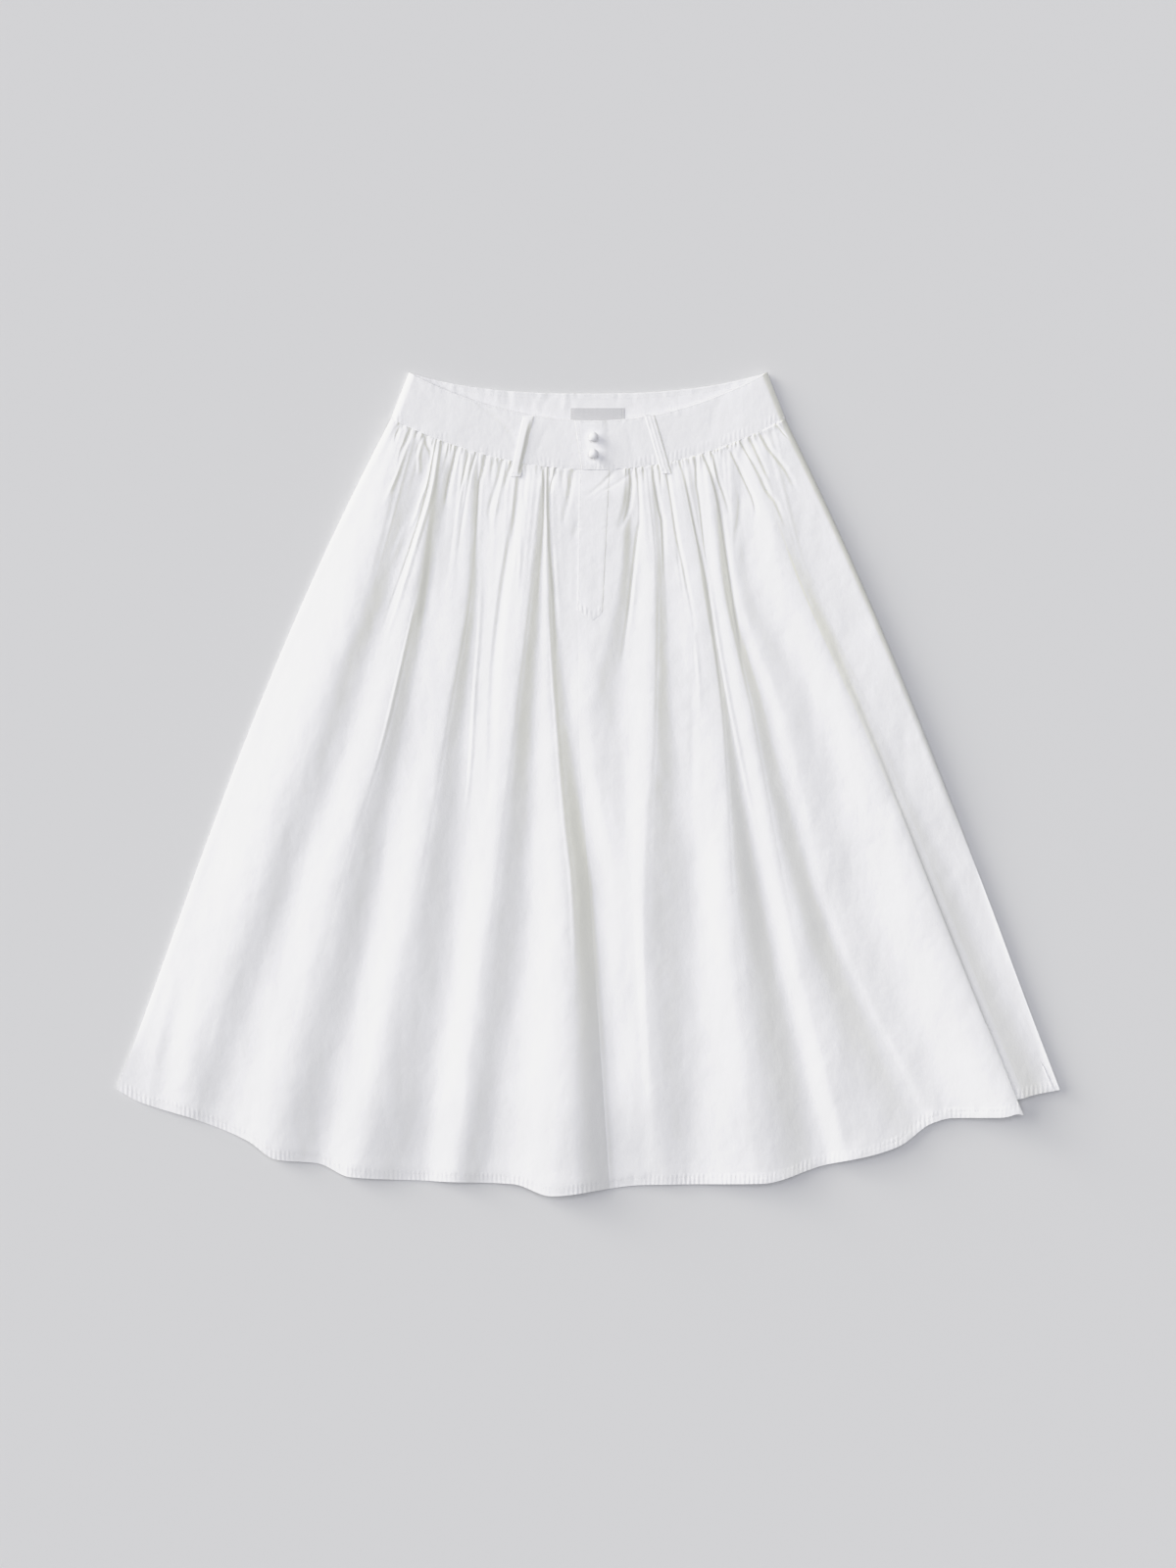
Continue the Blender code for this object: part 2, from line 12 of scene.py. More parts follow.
import bpy
import numpy as np
from mathutils import Matrix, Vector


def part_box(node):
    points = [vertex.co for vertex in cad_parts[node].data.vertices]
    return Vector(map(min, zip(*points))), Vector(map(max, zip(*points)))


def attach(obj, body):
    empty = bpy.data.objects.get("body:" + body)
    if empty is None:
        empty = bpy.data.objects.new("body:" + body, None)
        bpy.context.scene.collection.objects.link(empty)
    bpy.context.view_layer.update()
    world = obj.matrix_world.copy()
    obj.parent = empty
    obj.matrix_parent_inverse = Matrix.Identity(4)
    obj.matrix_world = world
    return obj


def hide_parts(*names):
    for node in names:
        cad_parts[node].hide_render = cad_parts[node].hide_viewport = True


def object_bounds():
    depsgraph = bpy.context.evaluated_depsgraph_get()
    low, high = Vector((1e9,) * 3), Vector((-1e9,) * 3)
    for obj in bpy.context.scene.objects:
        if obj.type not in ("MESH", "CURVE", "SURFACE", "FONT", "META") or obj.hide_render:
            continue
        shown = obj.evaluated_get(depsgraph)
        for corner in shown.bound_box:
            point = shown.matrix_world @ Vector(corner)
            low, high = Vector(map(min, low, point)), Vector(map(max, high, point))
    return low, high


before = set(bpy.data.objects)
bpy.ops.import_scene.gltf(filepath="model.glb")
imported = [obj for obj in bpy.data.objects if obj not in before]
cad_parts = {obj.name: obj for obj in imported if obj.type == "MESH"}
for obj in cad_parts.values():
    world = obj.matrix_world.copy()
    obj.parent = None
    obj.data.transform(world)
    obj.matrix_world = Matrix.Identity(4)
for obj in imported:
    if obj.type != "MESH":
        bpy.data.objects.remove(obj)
cad_low, cad_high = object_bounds()

# ---------------------------------------- The table, light and camera
# A pale grey table top of matt board. A broad soft light and a low one stand at the left, a
# little towards the waist, a third hangs overhead, and the camera looks straight down.

MM = 0.001
CAMERA_HEIGHT = 4.5
VIEW_HEIGHT = 1.52
SENSOR = 36.0
SKIRT_MIDDLE = (cad_low + cad_high) / 2
scene = bpy.context.scene

camera_data = bpy.data.cameras.new("camera")
camera_data.sensor_fit = "VERTICAL"
camera_data.sensor_height = SENSOR
camera_data.lens = SENSOR * CAMERA_HEIGHT / VIEW_HEIGHT
camera = bpy.data.objects.new("camera", camera_data)
camera.location = (SKIRT_MIDDLE.x, SKIRT_MIDDLE.y, CAMERA_HEIGHT)
scene.collection.objects.link(camera)
scene.camera = camera


def distant_light(name, strength, colour, spread, bearing, height):
    """A light as wide as spread, seen from the skirt at a bearing and a height, all in degrees."""
    lamp = bpy.data.lights.new(name, "SUN")
    lamp.energy = strength
    lamp.color = colour
    lamp.angle = math.radians(spread)
    light = bpy.data.objects.new(name, lamp)
    light.rotation_euler = (0, math.radians(90 - height), math.radians(bearing))
    scene.collection.objects.link(light)


distant_light("window_light", 1.69, (1.0, 0.98, 0.90), 44, 158, 28)
distant_light("low_light", 1.15, (1.0, 0.965, 0.88), 22, 147, 10.5)
distant_light("ceiling_light", 1.585, (0.950, 0.950, 1.0), 40, 90, 86)
room = bpy.data.worlds.new("room")
room.use_nodes = True
room.node_tree.nodes["Background"].inputs["Color"].default_value = (0.90, 0.93, 1.0, 1)
room.node_tree.nodes["Background"].inputs["Strength"].default_value = 0.133
scene.world = room
scene.view_settings.view_transform = "Standard"

# The camera's response: even up to bright white, then held back so that the brightest edges of the
# cloth stay white instead of glaring, with the blue held back a little less.
RESPONSE = ((0.80, 0.80), (0.86, 0.853), (0.93, 0.885), (1.0, 0.90))
COOL_WHITES = ((0.80, 0.80), (0.853, 0.860), (0.885, 0.895), (0.90, 0.912))
scene.view_settings.use_curve_mapping = True
response = scene.view_settings.curve_mapping
all_colours, blue = response.curves[3], response.curves[2]
all_colours.points[1].location = RESPONSE[-1]
for curve, places in ((all_colours, RESPONSE[:-1]), (blue, COOL_WHITES)):
    for place in places:
        curve.points.new(*place)
    for point in curve.points:
        point.handle_type = "VECTOR"
response.update()


def new_material(name, surface):
    """A material with some of its shader's values set, with its node tree and its shader."""
    made = bpy.data.materials.new(name)
    made.use_nodes = True
    shader = made.node_tree.nodes["Principled BSDF"]
    for socket, value in surface.items():
        shader.inputs[socket].default_value = value
    return made, made.node_tree, shader


TABLE_SIZE = 8.0
TABLE_GAP = 0.2 * MM
bpy.ops.object.select_all(action="DESELECT")
bpy.ops.mesh.primitive_plane_add(size=TABLE_SIZE, location=(0, 0, -TABLE_GAP))
table = bpy.context.object
table.name = "table"
board, _, _ = new_material(
    "matt_board", {"Base Color": (0.708, 0.711, 0.720, 1), "Roughness": 0.95, "Specular IOR Level": 0.1}
)
table.data.materials.append(board)

# ---------------------------------------- The front of the skirt
# Two panels of light cotton poplin, joined by the centre-front seam and gathered along the top
# into the band. They keep the tall soft folds that run from the gathers to the turned hem.

LENGTH = 797.0
HEM_HALF = 456.5
WAIST_HALF = 173.5
BAND_FOOT_HALF = 191.0
BAND_SIDE_DROP = 45.0
HEM_CORNER_DROP = 694.5
GATHER_SEAM_DROP = 94.5
GATHER_SEAM_X = 8.0

# How far the sides bow out, left and right, and what makes the bow's curve 1 at its widest.
SIDE_BOWS = (14.0, 10.0)
BOW_TO_ONE = 5.38

# Heights and walls: the front band lies higher from LIFT_X on, and the left side is pressed flat.
FRONT_BAND_Z = 8.0
FRONT_BAND_LIFT, LIFT_X, LIFT_REACH = 1.6, 100.0, 70.0
BAND_WALL = 1.4
FOLDS_UNDER_BAND = 0.25
PANEL_UNDER_BAND = 0.5
TUCK_IN, TUCK_IN_REACH = 1.3, 1.6
SIDE_Z_LEFT = 2.4
SIDE_Z_RIGHT = (5.0, 8.5, 9.5, 9.2, 7.6)
SIDE_GAP = 0.5
SIDE_ROUND = 7.0
SIDE_SHARES = (0.0, 0.01, 0.035, 0.08, 0.14, 0.23, 0.35, 0.5, 0.72, 1.0)
TURN_ROUND = 28.0
PANEL_WALL = 0.8
PANEL_COLUMNS = 290
TUCKED_UNDER = 2.4

# Where the fold table is given, as drops, and one row for each fold: the line along its top, the
# distance from there to the hollow on its right, the heights of the two, and how the cloth falls
# between them: at once below 1, late above 1.
STATIONS = (100, 190, 330, 520, 760)
Fold = namedtuple("Fold", "crest fall high low late", defaults=((1, 1, 1, 1, 1),))
FOLDS = (
    Fold((-187, -210, -258, -325, -400), (29, 25, 32, 32, 28),
         (11.5, 14, 16, 15, 13), (9.5, 10.5, 12, 11.8, 10)),
    Fold((-147, -165, -194, -250, -304), (13, 18, 21, 42, 46),
         (11, 13, 16, 17.5, 17.5), (8.4, 9.4, 11.8, 12, 12.5), (1, 1, 1, 1.25, 1.1)),
    Fold((-113, -116, -138, -171, -217), (8, 10, 20, 42, 56),
         (9.5, 11, 14.5, 18, 19), (8.4, 9.2, 10.5, 12.3, 11.6)),
    Fold((-46, -56, -72, -94, -124), (4, 12, 21, 35, 30),
         (11.5, 13.4, 15, 18.5, 18.5), (10.9, 11, 10.5, 13, 13.5)),
    Fold((-41, -40, -35, -21, -19), (8, 8, 17, 29, 45),
         (11.2, 11.6, 12.6, 19.8, 24.4), (9.3, 9.8, 10, 11, 11.6), (1, 1, 1, 1.4, 1.4)),
    Fold((35, 31, 4, 30, 44), (8, 12, 26, 12, 12),
         (10.2, 11, 12, 14.5, 12.5), (8.6, 8.6, 10, 16.5, 12.9)),
    Fold((56, 64, 62, 54, 66), (15, 11, 21, 50, 36),
         (9.6, 10.6, 14, 19, 13.4), (8.4, 8.8, 10, 12, 10.6), (1, 1, 1, 0.8, 1.1)),
    Fold((88, 107, 128, 139, 164), (18, 8, 9, 34, 64),
         (10, 11, 12.5, 18.2, 17.4), (8.8, 9.4, 10.6, 10, 8.2), (1, 1, 1, 1.3, 1.2)),
    Fold((118, 127, 156, 192, 254), (11, 9, 17, 36, 88),
         (10.4, 11.2, 13.2, 13.8, 12.8), (8.6, 9.2, 9.8, 7.2, 6), (1, 1, 1, 1.35, 1.35)),
    Fold((140, 144, 190, 239, 354), (7, 10, 30, 26, 8),
         (9.4, 9.6, 12.2, 8, 6.7), (8.9, 8.6, 10, 7.5, 6.7)),
    Fold((163, 196, 257, 333, 429), (32, 20, 20, 38, 52),
         (11.2, 13.6, 15.6, 16.2, 17.6), (10.6, 12, 12.9, 8.4, 6.6), (1, 1, 0.8, 0.7, 0.9)),
)
KNOT_GAP = 1.5
EDGE_HIGH = ((7, 4.4, 3.8, 3.8, 3.6), (11, 13.5, 14.5, 8.6, 6.6))
CREASE_LEAN = (0, 0, 1, 2.5, 4)
CREASE_WIDTH = 15.0

# The hem, as x and drop along it, and its turning: a stitched step with small puckers.
HEM = (
    (-456.5, 694.5), (-436, 706), (-379, 724), (-330, 744), (-302, 762), (-262, 766), (-230, 779),
    (-154, 783), (-72, 786), (-36, LENGTH), (16, 791), (52, 787), (168, 785), (227, 768),
    (278, 757), (303, 748), (333, 727), (352, 722), (398, 721), (413, 717.5), (417, 704),
    (456.5, 694.5),
)
HEM_TURN = 8.0
HEM_STITCH_ROW = 6.8
HEM_STEP, HEM_STEP_WIDTH = 0.35, 1.5
HEM_GROOVE_WIDTH = 0.9

# How far the hem has sunk towards the table, from left to right, as x and height. At its left and
# middle its last stretch, the lip, lies lower still. Nothing sinks below the lowest height.
HEM_FALL = ((-450, 7.5), (-190, 8.0), (0, 7.5), (190, 3.5), (320, 0.0), (450, 0.0))
HEM_FALL_REACH = 95.0
HEM_LOWEST, LOWEST_ROUND = 2.6, 1.2
HEM_LIP, LIP_SINKS, HEM_LIP_REACH = 1.4, 1.8, 13.0
LIP_MIDDLE_X, LIP_HALF, LIP_FADE = -160.0, 200.0, 100.0

# Sharp tucks that run down out of the gathers, each with its half width and its route as x, drop
# and depth. A depth below zero is a ridge. A tuck is steep on its left and slower on its right.
TUCK_DEPTH = 0.5
TUCK_SIDES = (0.7, 1.3)
Tuck = namedtuple("Tuck", "width route")
TUCK_ROWS = (
    (3, (-181, 52, 1.2), (-185, 60, 1.4), (-187, 70, 0)),
    (3.2, (-172, 55, 2.2), (-176, 66, 2.4), (-181, 78, 1), (-184, 92, 0)),
    (2, (-166, 60, 1.6), (-168, 66, 0)),
    (2.4, (-161, 64, 1.8), (-165, 74, 1.2), (-167, 84, 0)),
    (3.4, (-157, 62, 2.6), (-156, 70, 2.4), (-152, 79, 1.2), (-152, 90, 0)),
    (2.8, (-147, 68, 1.2), (-156, 118, 1.4), (-170, 165, 1.6), (-190, 222, 0.8), (-200, 250, 0)),
    (4.5, (-141, 72, 1.6), (-145, 100, 1.2), (-148, 130, 0)),
    (3.8, (-133, 71, 2.2), (-137, 84, 1), (-140, 100, 0)),
    (3.2, (-127, 74, 2.4), (-130, 88, 2.4), (-134, 104, 2.4), (-137, 120, 1.6), (-138, 130, 0)),
    (8, (-147, 110, 0.6), (-150, 150, 1.2), (-155, 200, 1.6), (-160, 236, 2), (-162, 250, 0)),
    (2.6, (-115, 78, 2.4), (-122, 110, 1), (-128, 145, 0.8), (-133, 180, 0.5), (-138, 210, 0)),
    (2.2, (-109, 80, 1.4), (-114, 98, 1), (-121, 140, 0.8), (-125, 165, 0.5), (-130, 200, 0)),
    (2.8, (-99, 82, 1.8), (-102, 95, 2.2), (-105, 108, 2), (-106, 122, 1.2), (-110, 190, 0)),
    (2.2, (-92, 88, 1.4), (-94, 98, 0.8), (-95, 108, 0)),
    (3, (-84, 90, 1.6), (-88, 106, 1.4), (-93, 122, 1.6), (-96, 136, 1.2), (-95, 149, 0)),
    (2.4, (-75, 90, 2.2), (-79, 104, 1.6), (-82, 118, 0)),
    (7, (-65, 97, 2), (-71, 142, 3), (-82, 205, 2.8), (-92, 300, 1.6), (-96, 420, 0)),
    (2.2, (-60, 100, 0.8), (-62, 118, 1), (-61, 135, 0)),
    (3.6, (-43, 92, 2.4), (-42, 110, 1.8), (-42, 135, 1.2), (-44, 165, 1), (-49, 230, 0)),
    (3.6, (-38, 93, 3.6), (-38, 115, 3), (-37, 160, 1.6), (-33, 215, 1.2), (-30, 290, 0)),
    (2.4, (-32, 95, 2.2), (-35, 108, 1.8), (-37, 118, 0)),
    (2.4, (-24, 93, 1.4), (-26, 108, 1), (-28, 122, 0)),
    (3.2, (-15, 93, 2.4), (-17, 110, 2.4), (-20, 125, 1.6), (-23, 140, 1), (-24, 150, 0)),
    (5, (-9, 140, 0), (-13, 155, 1), (-18, 168, 0)),
    (4, (28, 93, 0.8), (20, 101, 1.2), (11, 110, 1), (2, 117, 0.6), (-5, 122, 0)),
    (3, (39, 99, 0.6), (30, 106, 0.9), (20, 112, 0.8), (8, 119, 0.4), (0, 126, 0)),
    (3.4, (41, 92, 2.6), (42, 105, 3), (41, 120, 2.4), (38, 136, 1.4), (30, 156, 0)),
    (6, (38, 108, 0), (37, 122, 1.4), (34, 138, 1.6), (31, 148, 1.2), (30, 156, 0)),
    (2.4, (48, 92, 1.4), (50, 140, 1), (47, 162, 2.2), (42, 205, 1.8), (35, 262, 0.8),
     (30, 290, 0)),
    (1.8, (54, 90, 1.4), (54, 108, 0)),
    (3.2, (62, 90, 1.6), (66, 115, 2.2), (69, 132, 2.6), (72, 146, 1.8), (74, 205, 0)),
    (2.2, (70, 97, 1.4), (71, 112, 0)),
    (2.6, (76, 96, 1.8), (80, 120, 1.4), (85, 154, 2.4), (92, 188, 1.8), (101, 240, 1.4),
     (105, 310, 0)),
    (2.4, (84, 150, 0), (87, 178, 1), (90, 200, 0.6), (93, 220, 0)),
    (2, (82, 84, 1.6), (85, 92, 0)),
    (2, (87, 82, 1.8), (90, 92, 0)),
    (2.8, (89, 84, 1.4), (96, 114, 1.6), (104, 152, 1.8), (114, 200, 1.4), (122, 255, 0.8),
     (130, 320, 0)),
    (2, (95, 80, 1.8), (99, 90, 0)),
    (2.2, (104, 78, 1.8), (105, 108, 2), (107, 122, 1.2), (112, 165, 0.4), (115, 190, 0)),
    (3.4, (111, 78, 2.2), (120, 100, 2.8), (128, 134, 1.8), (134, 175, 2.2), (143, 235, 1.6),
     (152, 300, 0)),
    (1.8, (118, 74, 2.2), (120, 82, 0)),
    (2.6, (122, 84, 1.2), (126, 103, 1.4), (131, 117, 1.4), (135, 130, 1.2), (137, 140, 0)),
    (4.5, (144, 110, 0), (147, 125, 0.8), (146, 140, 0.8), (142, 165, 0.6), (147, 200, 0)),
    (3.4, (137, 74, 1.4), (149, 99, 1.8), (155, 112, 2), (160, 124, 1.8), (162, 134, 1.2),
     (160, 146, 0)),
    (3.6, (146, 64, 2.6), (159, 87, 2), (166, 100, 1.6), (173, 115, 2.6), (180, 124, 1.4),
     (191, 150, 0)),
    (3, (156, 62, 2.8), (161, 72, 2.8), (166, 84, 2.4), (171, 96, 1.6), (174, 104, 0)),
    (4, (167, 60, 2.6), (174, 72, 2.6), (182, 83, 2.6), (190, 93, 1.6), (197, 106, 1),
     (203, 120, 0)),
    (2, (182, 50, 1.4), (188, 58, 1.2), (195, 66, 0)),
    (6, (100, 280, 0), (101, 330, 0.7), (101, 380, 0.7), (100, 430, 0)),
    (3, (-173, 66, -1), (-178, 80, -1.4), (-184, 97, -1.6), (-191, 113, -1.4), (-198, 127, 0)),
    (3, (-162, 72, -1), (-164, 84, -1.8), (-164, 94, -1.2), (-165, 100, 0)),
    (3, (-149, 74, -1.2), (-156, 108, -1.8), (-162, 124, -1.8), (-167, 140, -1.2), (-175, 156, 0)),
    (3.4, (-145, 70, -1.4), (-151, 112, -1.8), (-164, 158, -2), (-179, 208, -1.4), (-197, 265, 0)),
    (2.4, (-117, 92, -1.2), (-125, 128, -1.2), (-134, 190, -0.4), (-140, 225, 0)),
    (2.2, (-82, 98, -1), (-86, 116, -1.4), (-89, 132, -1.2), (-92, 150, 0)),
    (3, (-103, 190, 0), (-105, 240, -0.9), (-110, 310, -1.4), (-114, 380, -1.2), (-119, 430, 0)),
    (3, (-65, 150, 0), (-66, 180, -1.2), (-68, 215, 0)),
    (3, (-38, 230, 0), (-34, 300, -1.3), (-25, 420, -1.3), (-16, 508, -0.9), (-12, 600, 0)),
    (2.6, (-32, 160, 0), (-31, 190, -1), (-27, 240, 0)),
    (3, (46, 190, 0), (44, 220, -1), (40, 255, 0)),
    (3, (94, 190, 0), (100, 235, -1), (105, 280, -1.1), (109, 330, 0)),
    (3, (117, 195, 0), (123, 240, -1), (135, 310, -1.3), (150, 385, -1.1), (164, 450, 0)),
    (3, (-160, 195, 0), (-172, 245, -1.1), (-185, 300, -1.3), (-197, 350, -1), (-210, 395, 0)),
    (20, (-375, 540, 0), (-402, 640, 3.2), (-414, 700, 3.2), (-424, 740, 3.2)),
    (7, (-170, 138, 0), (-177, 152, -0.9), (-183, 166, -1.1), (-188, 180, 0)),
)
TUCKS = [Tuck(width, route) for width, *route in TUCK_ROWS]

# Fine double lines pressed in beside the tops of some folds: the fold and the distance past its
# top. They show from the first drop to the second, and fade over the reach after each.
CREST_LINES = ((1, 5.0), (2, 5.0), (3, 4.0), (4, 3.0), (6, 4.0), (7, 3.0), (8, 3.5))
CREST_LINE_DEPTH, CREST_LINE_WIDTH = 0.15, 1.2
CREST_LINE_FADES = ((180, 60), (480, 120))

# The cloth's soft waves, which start CALM below the gathered seam, and the hem's small puckers.
Waves = namedtuple("Waves", "height wide long seed")
CLOTH_WAVES = (Waves(0.60, 26, 60, 5), Waves(0.20, 9, 16, 6), Waves(0.05, 4, 6, 7))
CALM, CALM_REACH = 10.0, 90.0
HEM_PUCKERS, PUCKER_REACH = Waves(0.30, 4.4, 300, 8), 5.0

# The centre-front seam. It is grooved from each drop on, as depth, drop and reach. From LADDER_DROP
# on it is laddered too.
SEAM_LINE = (-10, -10, -9, 3, 19)
LADDER_DROP, LADDER_FADE = 560.0, 120.0
SEAM_GROOVES = ((0.06, 240.0, 10.0), (0.3, LADDER_DROP, LADDER_FADE))
SEAM_GROOVE_WIDTH = 0.9
LADDER, LADDER_WIDTH = Waves(0.5, 40, 6.5, 9), 7.0


def ease(t):
    """A smooth step from 0 to 1."""
    t = np.clip(t, 0.0, 1.0)
    return t * t * (3.0 - 2.0 * t)


def rib(off, width):
    """1 on a line, and softly down to 0 beside it."""
    return np.exp(-((off / width) ** 2))


def smooth_curve(x, knots, values):
    """Reads a curve through the knots, flat at its highs and lows and with no overshoot.

    knots and values have one row for each x, in rising order. Past its ends the curve runs straight.
    """
    step = np.diff(knots, axis=1)
    rise = np.diff(values, axis=1) / step
    before, after = rise[:, :-1], rise[:, 1:]
    same_way = before * after > 0
    safe_before = np.where(same_way, before, 1.0)
    safe_after = np.where(same_way, after, 1.0)
    inner = np.where(same_way, 2.0 / (1.0 / safe_before + 1.0 / safe_after), 0.0)
    slope = np.concatenate([rise[:, :1], inner, rise[:, -1:]], axis=1)
    row = np.arange(len(x))
    k = np.sum(x[:, None] > knots[:, 1:-1], axis=1)
    h = step[row, k]
    t = (x - knots[row, k]) / h
    u = np.clip(t, 0.0, 1.0)
    value = (
        values[row, k] * (1 + 2 * u) * (1 - u) ** 2
        + slope[row, k] * h * u * (1 - u) ** 2
        + values[row, k + 1] * u * u * (3 - 2 * u)
        + slope[row, k + 1] * h * u * u * (u - 1)
    )
    beyond = np.where(t < 0, slope[row, k] * t * h, slope[row, k + 1] * (t - u) * h)
    return value + np.where((t < 0) | (t > 1), beyond, 0.0)


def along(x, knots, values):
    """smooth_curve for one curve that all the points share."""
    return smooth_curve(x, *(np.tile(np.array(row, float), (len(x), 1)) for row in (knots, values)))


def side_x(drop, side):
    """The outline of the skirt at its left (-1) or right (+1) side."""
    v = (drop - BAND_SIDE_DROP) / (HEM_CORNER_DROP - BAND_SIDE_DROP)
    u = np.clip(v, 0.0, 1.0)
    bow = SIDE_BOWS[side > 0] * BOW_TO_ONE * u * (1 - u) ** 1.5
    return side * (BAND_FOOT_HALF + (HEM_HALF - BAND_FOOT_HALF) * v + bow)


def seam_drop(x):
    """The gathered seam under the front band."""
    half = np.where(x < GATHER_SEAM_X, BAND_FOOT_HALF + GATHER_SEAM_X, BAND_FOOT_HALF - GATHER_SEAM_X)
    return GATHER_SEAM_DROP - (GATHER_SEAM_DROP - BAND_SIDE_DROP) * ((x - GATHER_SEAM_X) / half) ** 2


def hem_drop(x):
    """The hem of the front, and of the strip that shows beyond the right-hand crease."""
    return along(x, *zip(*HEM))


def centre_seam(drop):
    """The line of the centre-front seam."""
    return along(drop, STATIONS, SEAM_LINE)


def crest(fold, drop):
    """The line along the top of a fold."""
    return along(drop, STATIONS, fold.crest)


def hollow(fold, drop):
    """The line along the hollow at a fold's right."""
    return along(drop, STATIONS, np.add(fold.crest, fold.fall))


def fold_knots(drop):
    """The fold lines' places and heights at each drop, from the left outline to the right one."""
    lines = [line(fold, drop) for fold in FOLDS for line in (crest, hollow)]
    xs = np.stack([side_x(drop, -1), *lines, side_x(drop, 1)], axis=1)
    rows = [EDGE_HIGH[0]] + [row for fold in FOLDS for row in (fold.high, fold.low)] + [EDGE_HIGH[1]]
    room = np.arange(len(rows)) * KNOT_GAP
    spaced = np.maximum.accumulate(xs - room, axis=1) + room
    return spaced, np.stack([along(drop, STATIONS, row) for row in rows], axis=1)


def front_band_z(x):
    """The upper surface of the front band, higher towards its right end."""
    return FRONT_BAND_Z + FRONT_BAND_LIFT * ease((x - LIFT_X) / LIFT_REACH)


def side_z(x, drop):
    """The height where front and back meet at the side edges: the left one is pressed flat."""
    return np.where(x < 0, SIDE_Z_LEFT, along(drop, STATIONS, SIDE_Z_RIGHT))


def rounded_side(x, drop):
    """0 at the side outlines and 1 inside them, along a quarter circle."""
    inside = np.minimum(x - side_x(drop, -1), side_x(drop, 1) - x)
    u = np.clip(inside / SIDE_ROUND, 0.0, 1.0)
    return np.sqrt(1 - (1 - u) ** 2)


def pressed(tucks, x, drop):
    """How deep tucks press into the cloth."""
    depth = np.zeros_like(x)
    for tuck in tucks:
        xs, drops, depths = (np.array(column, float) for column in zip(*tuck.route))
        off = x - along(drop, drops, xs)
        across = np.abs(off) / (tuck.width * np.where(off < 0, *TUCK_SIDES))
        depth = depth + TUCK_DEPTH * np.interp(drop, drops, depths, right=0.0) * ease(1 - across)
    return depth


# A gather's width and the step to the next one, as the least and most shares of the pitch.
Gather = namedtuple("Gather", "x width length height")
GATHER_WIDTHS = (0.4, 0.75)
GATHER_STEPS = (0.7, 1.3)


def sewn_gathers(spans, pitch, lengths, heights, seed):
    """Ridges where the cloth is drawn up, uneven in spacing, size and length."""
    draw = np.random.default_rng(seed)
    found = []
    for x, last in spans:
        while x < last:
            width = pitch * draw.uniform(*GATHER_WIDTHS)
            found.append(Gather(x, width, draw.uniform(*lengths), draw.uniform(*heights)))
            x += pitch * draw.uniform(*GATHER_STEPS)
    return found


def gathered(start, below, gathers):
    """The height of the gathers on the line of cloth that starts at one place on the seam."""
    z = np.zeros_like(below)
    for gather in gathers:
        near = abs(start - gather.x) / gather.width
        if near < 1:
            z = z + gather.height * float(ease(1 - near)) * (1 - ease(below / gather.length))
    return z


def uneven(x, drop, waves):
    """Soft random waves, drawn on a lattice of their width and length."""
    size = 64
    lattice = np.random.default_rng(waves.seed).uniform(-1, 1, (size, size))
    u, v = x / waves.wide + size / 2, drop / waves.long
    i, j = np.floor(u).astype(int), np.floor(v).astype(int)
    a, b = ease(u - i), ease(v - j)

    def across(row):
        return lattice[i % size, row % size] * (1 - a) + lattice[(i + 1) % size, row % size] * a

    return waves.height * (across(j) * (1 - b) + across(j + 1) * b)


def front_folds(x, drop):
    """The big folds of the front, from the gathers to the hem and round the side edges."""
    xs, zs = fold_knots(drop)
    moved = x
    for k, fold in enumerate(FOLDS):
        top, width = xs[:, 2 * k + 1], xs[:, 2 * k + 2] - xs[:, 2 * k + 1]
        share = np.clip((x - top) / width, 0.0, 1.0)
        moved = moved + width * (share ** along(drop, STATIONS, fold.late) - share)
    z = smooth_curve(moved, xs, zs)
    at_seam = front_band_z(x) - FOLDS_UNDER_BAND
    z = at_seam + (z - at_seam) * ease((drop - seam_drop(x)) / TURN_ROUND)
    return z - pressed(TUCKS, x, drop)


GATHERED_SPANS = ((-200.0, -14.0), (36.0, 200.0))
FRONT_GATHERS = sewn_gathers(GATHERED_SPANS, 3.6, (4.0, 14.0), (0.5, 1.1), 11)
FRONT_GATHERS += sewn_gathers(GATHERED_SPANS, 6.0, (40.0, 220.0), (0.15, 0.5), 12)


def sunk_hem(x, above_hem, z):
    """The cloth's height with the hem sunk towards the table and its lip pressed down."""
    sunk = np.interp(x, *zip(*HEM_FALL)) * (1 - ease(above_hem / HEM_FALL_REACH))
    beyond_lip = ease((np.abs(x - LIP_MIDDLE_X) - LIP_HALF) / LIP_FADE)
    lip = (1 - ease(above_hem / HEM_LIP_REACH)) * (1 - beyond_lip)
    lowest = HEM_LOWEST - HEM_LIP * lip
    above = z - sunk - LIP_SINKS * lip - lowest
    return lowest + LOWEST_ROUND * np.logaddexp(0.0, above / LOWEST_ROUND)


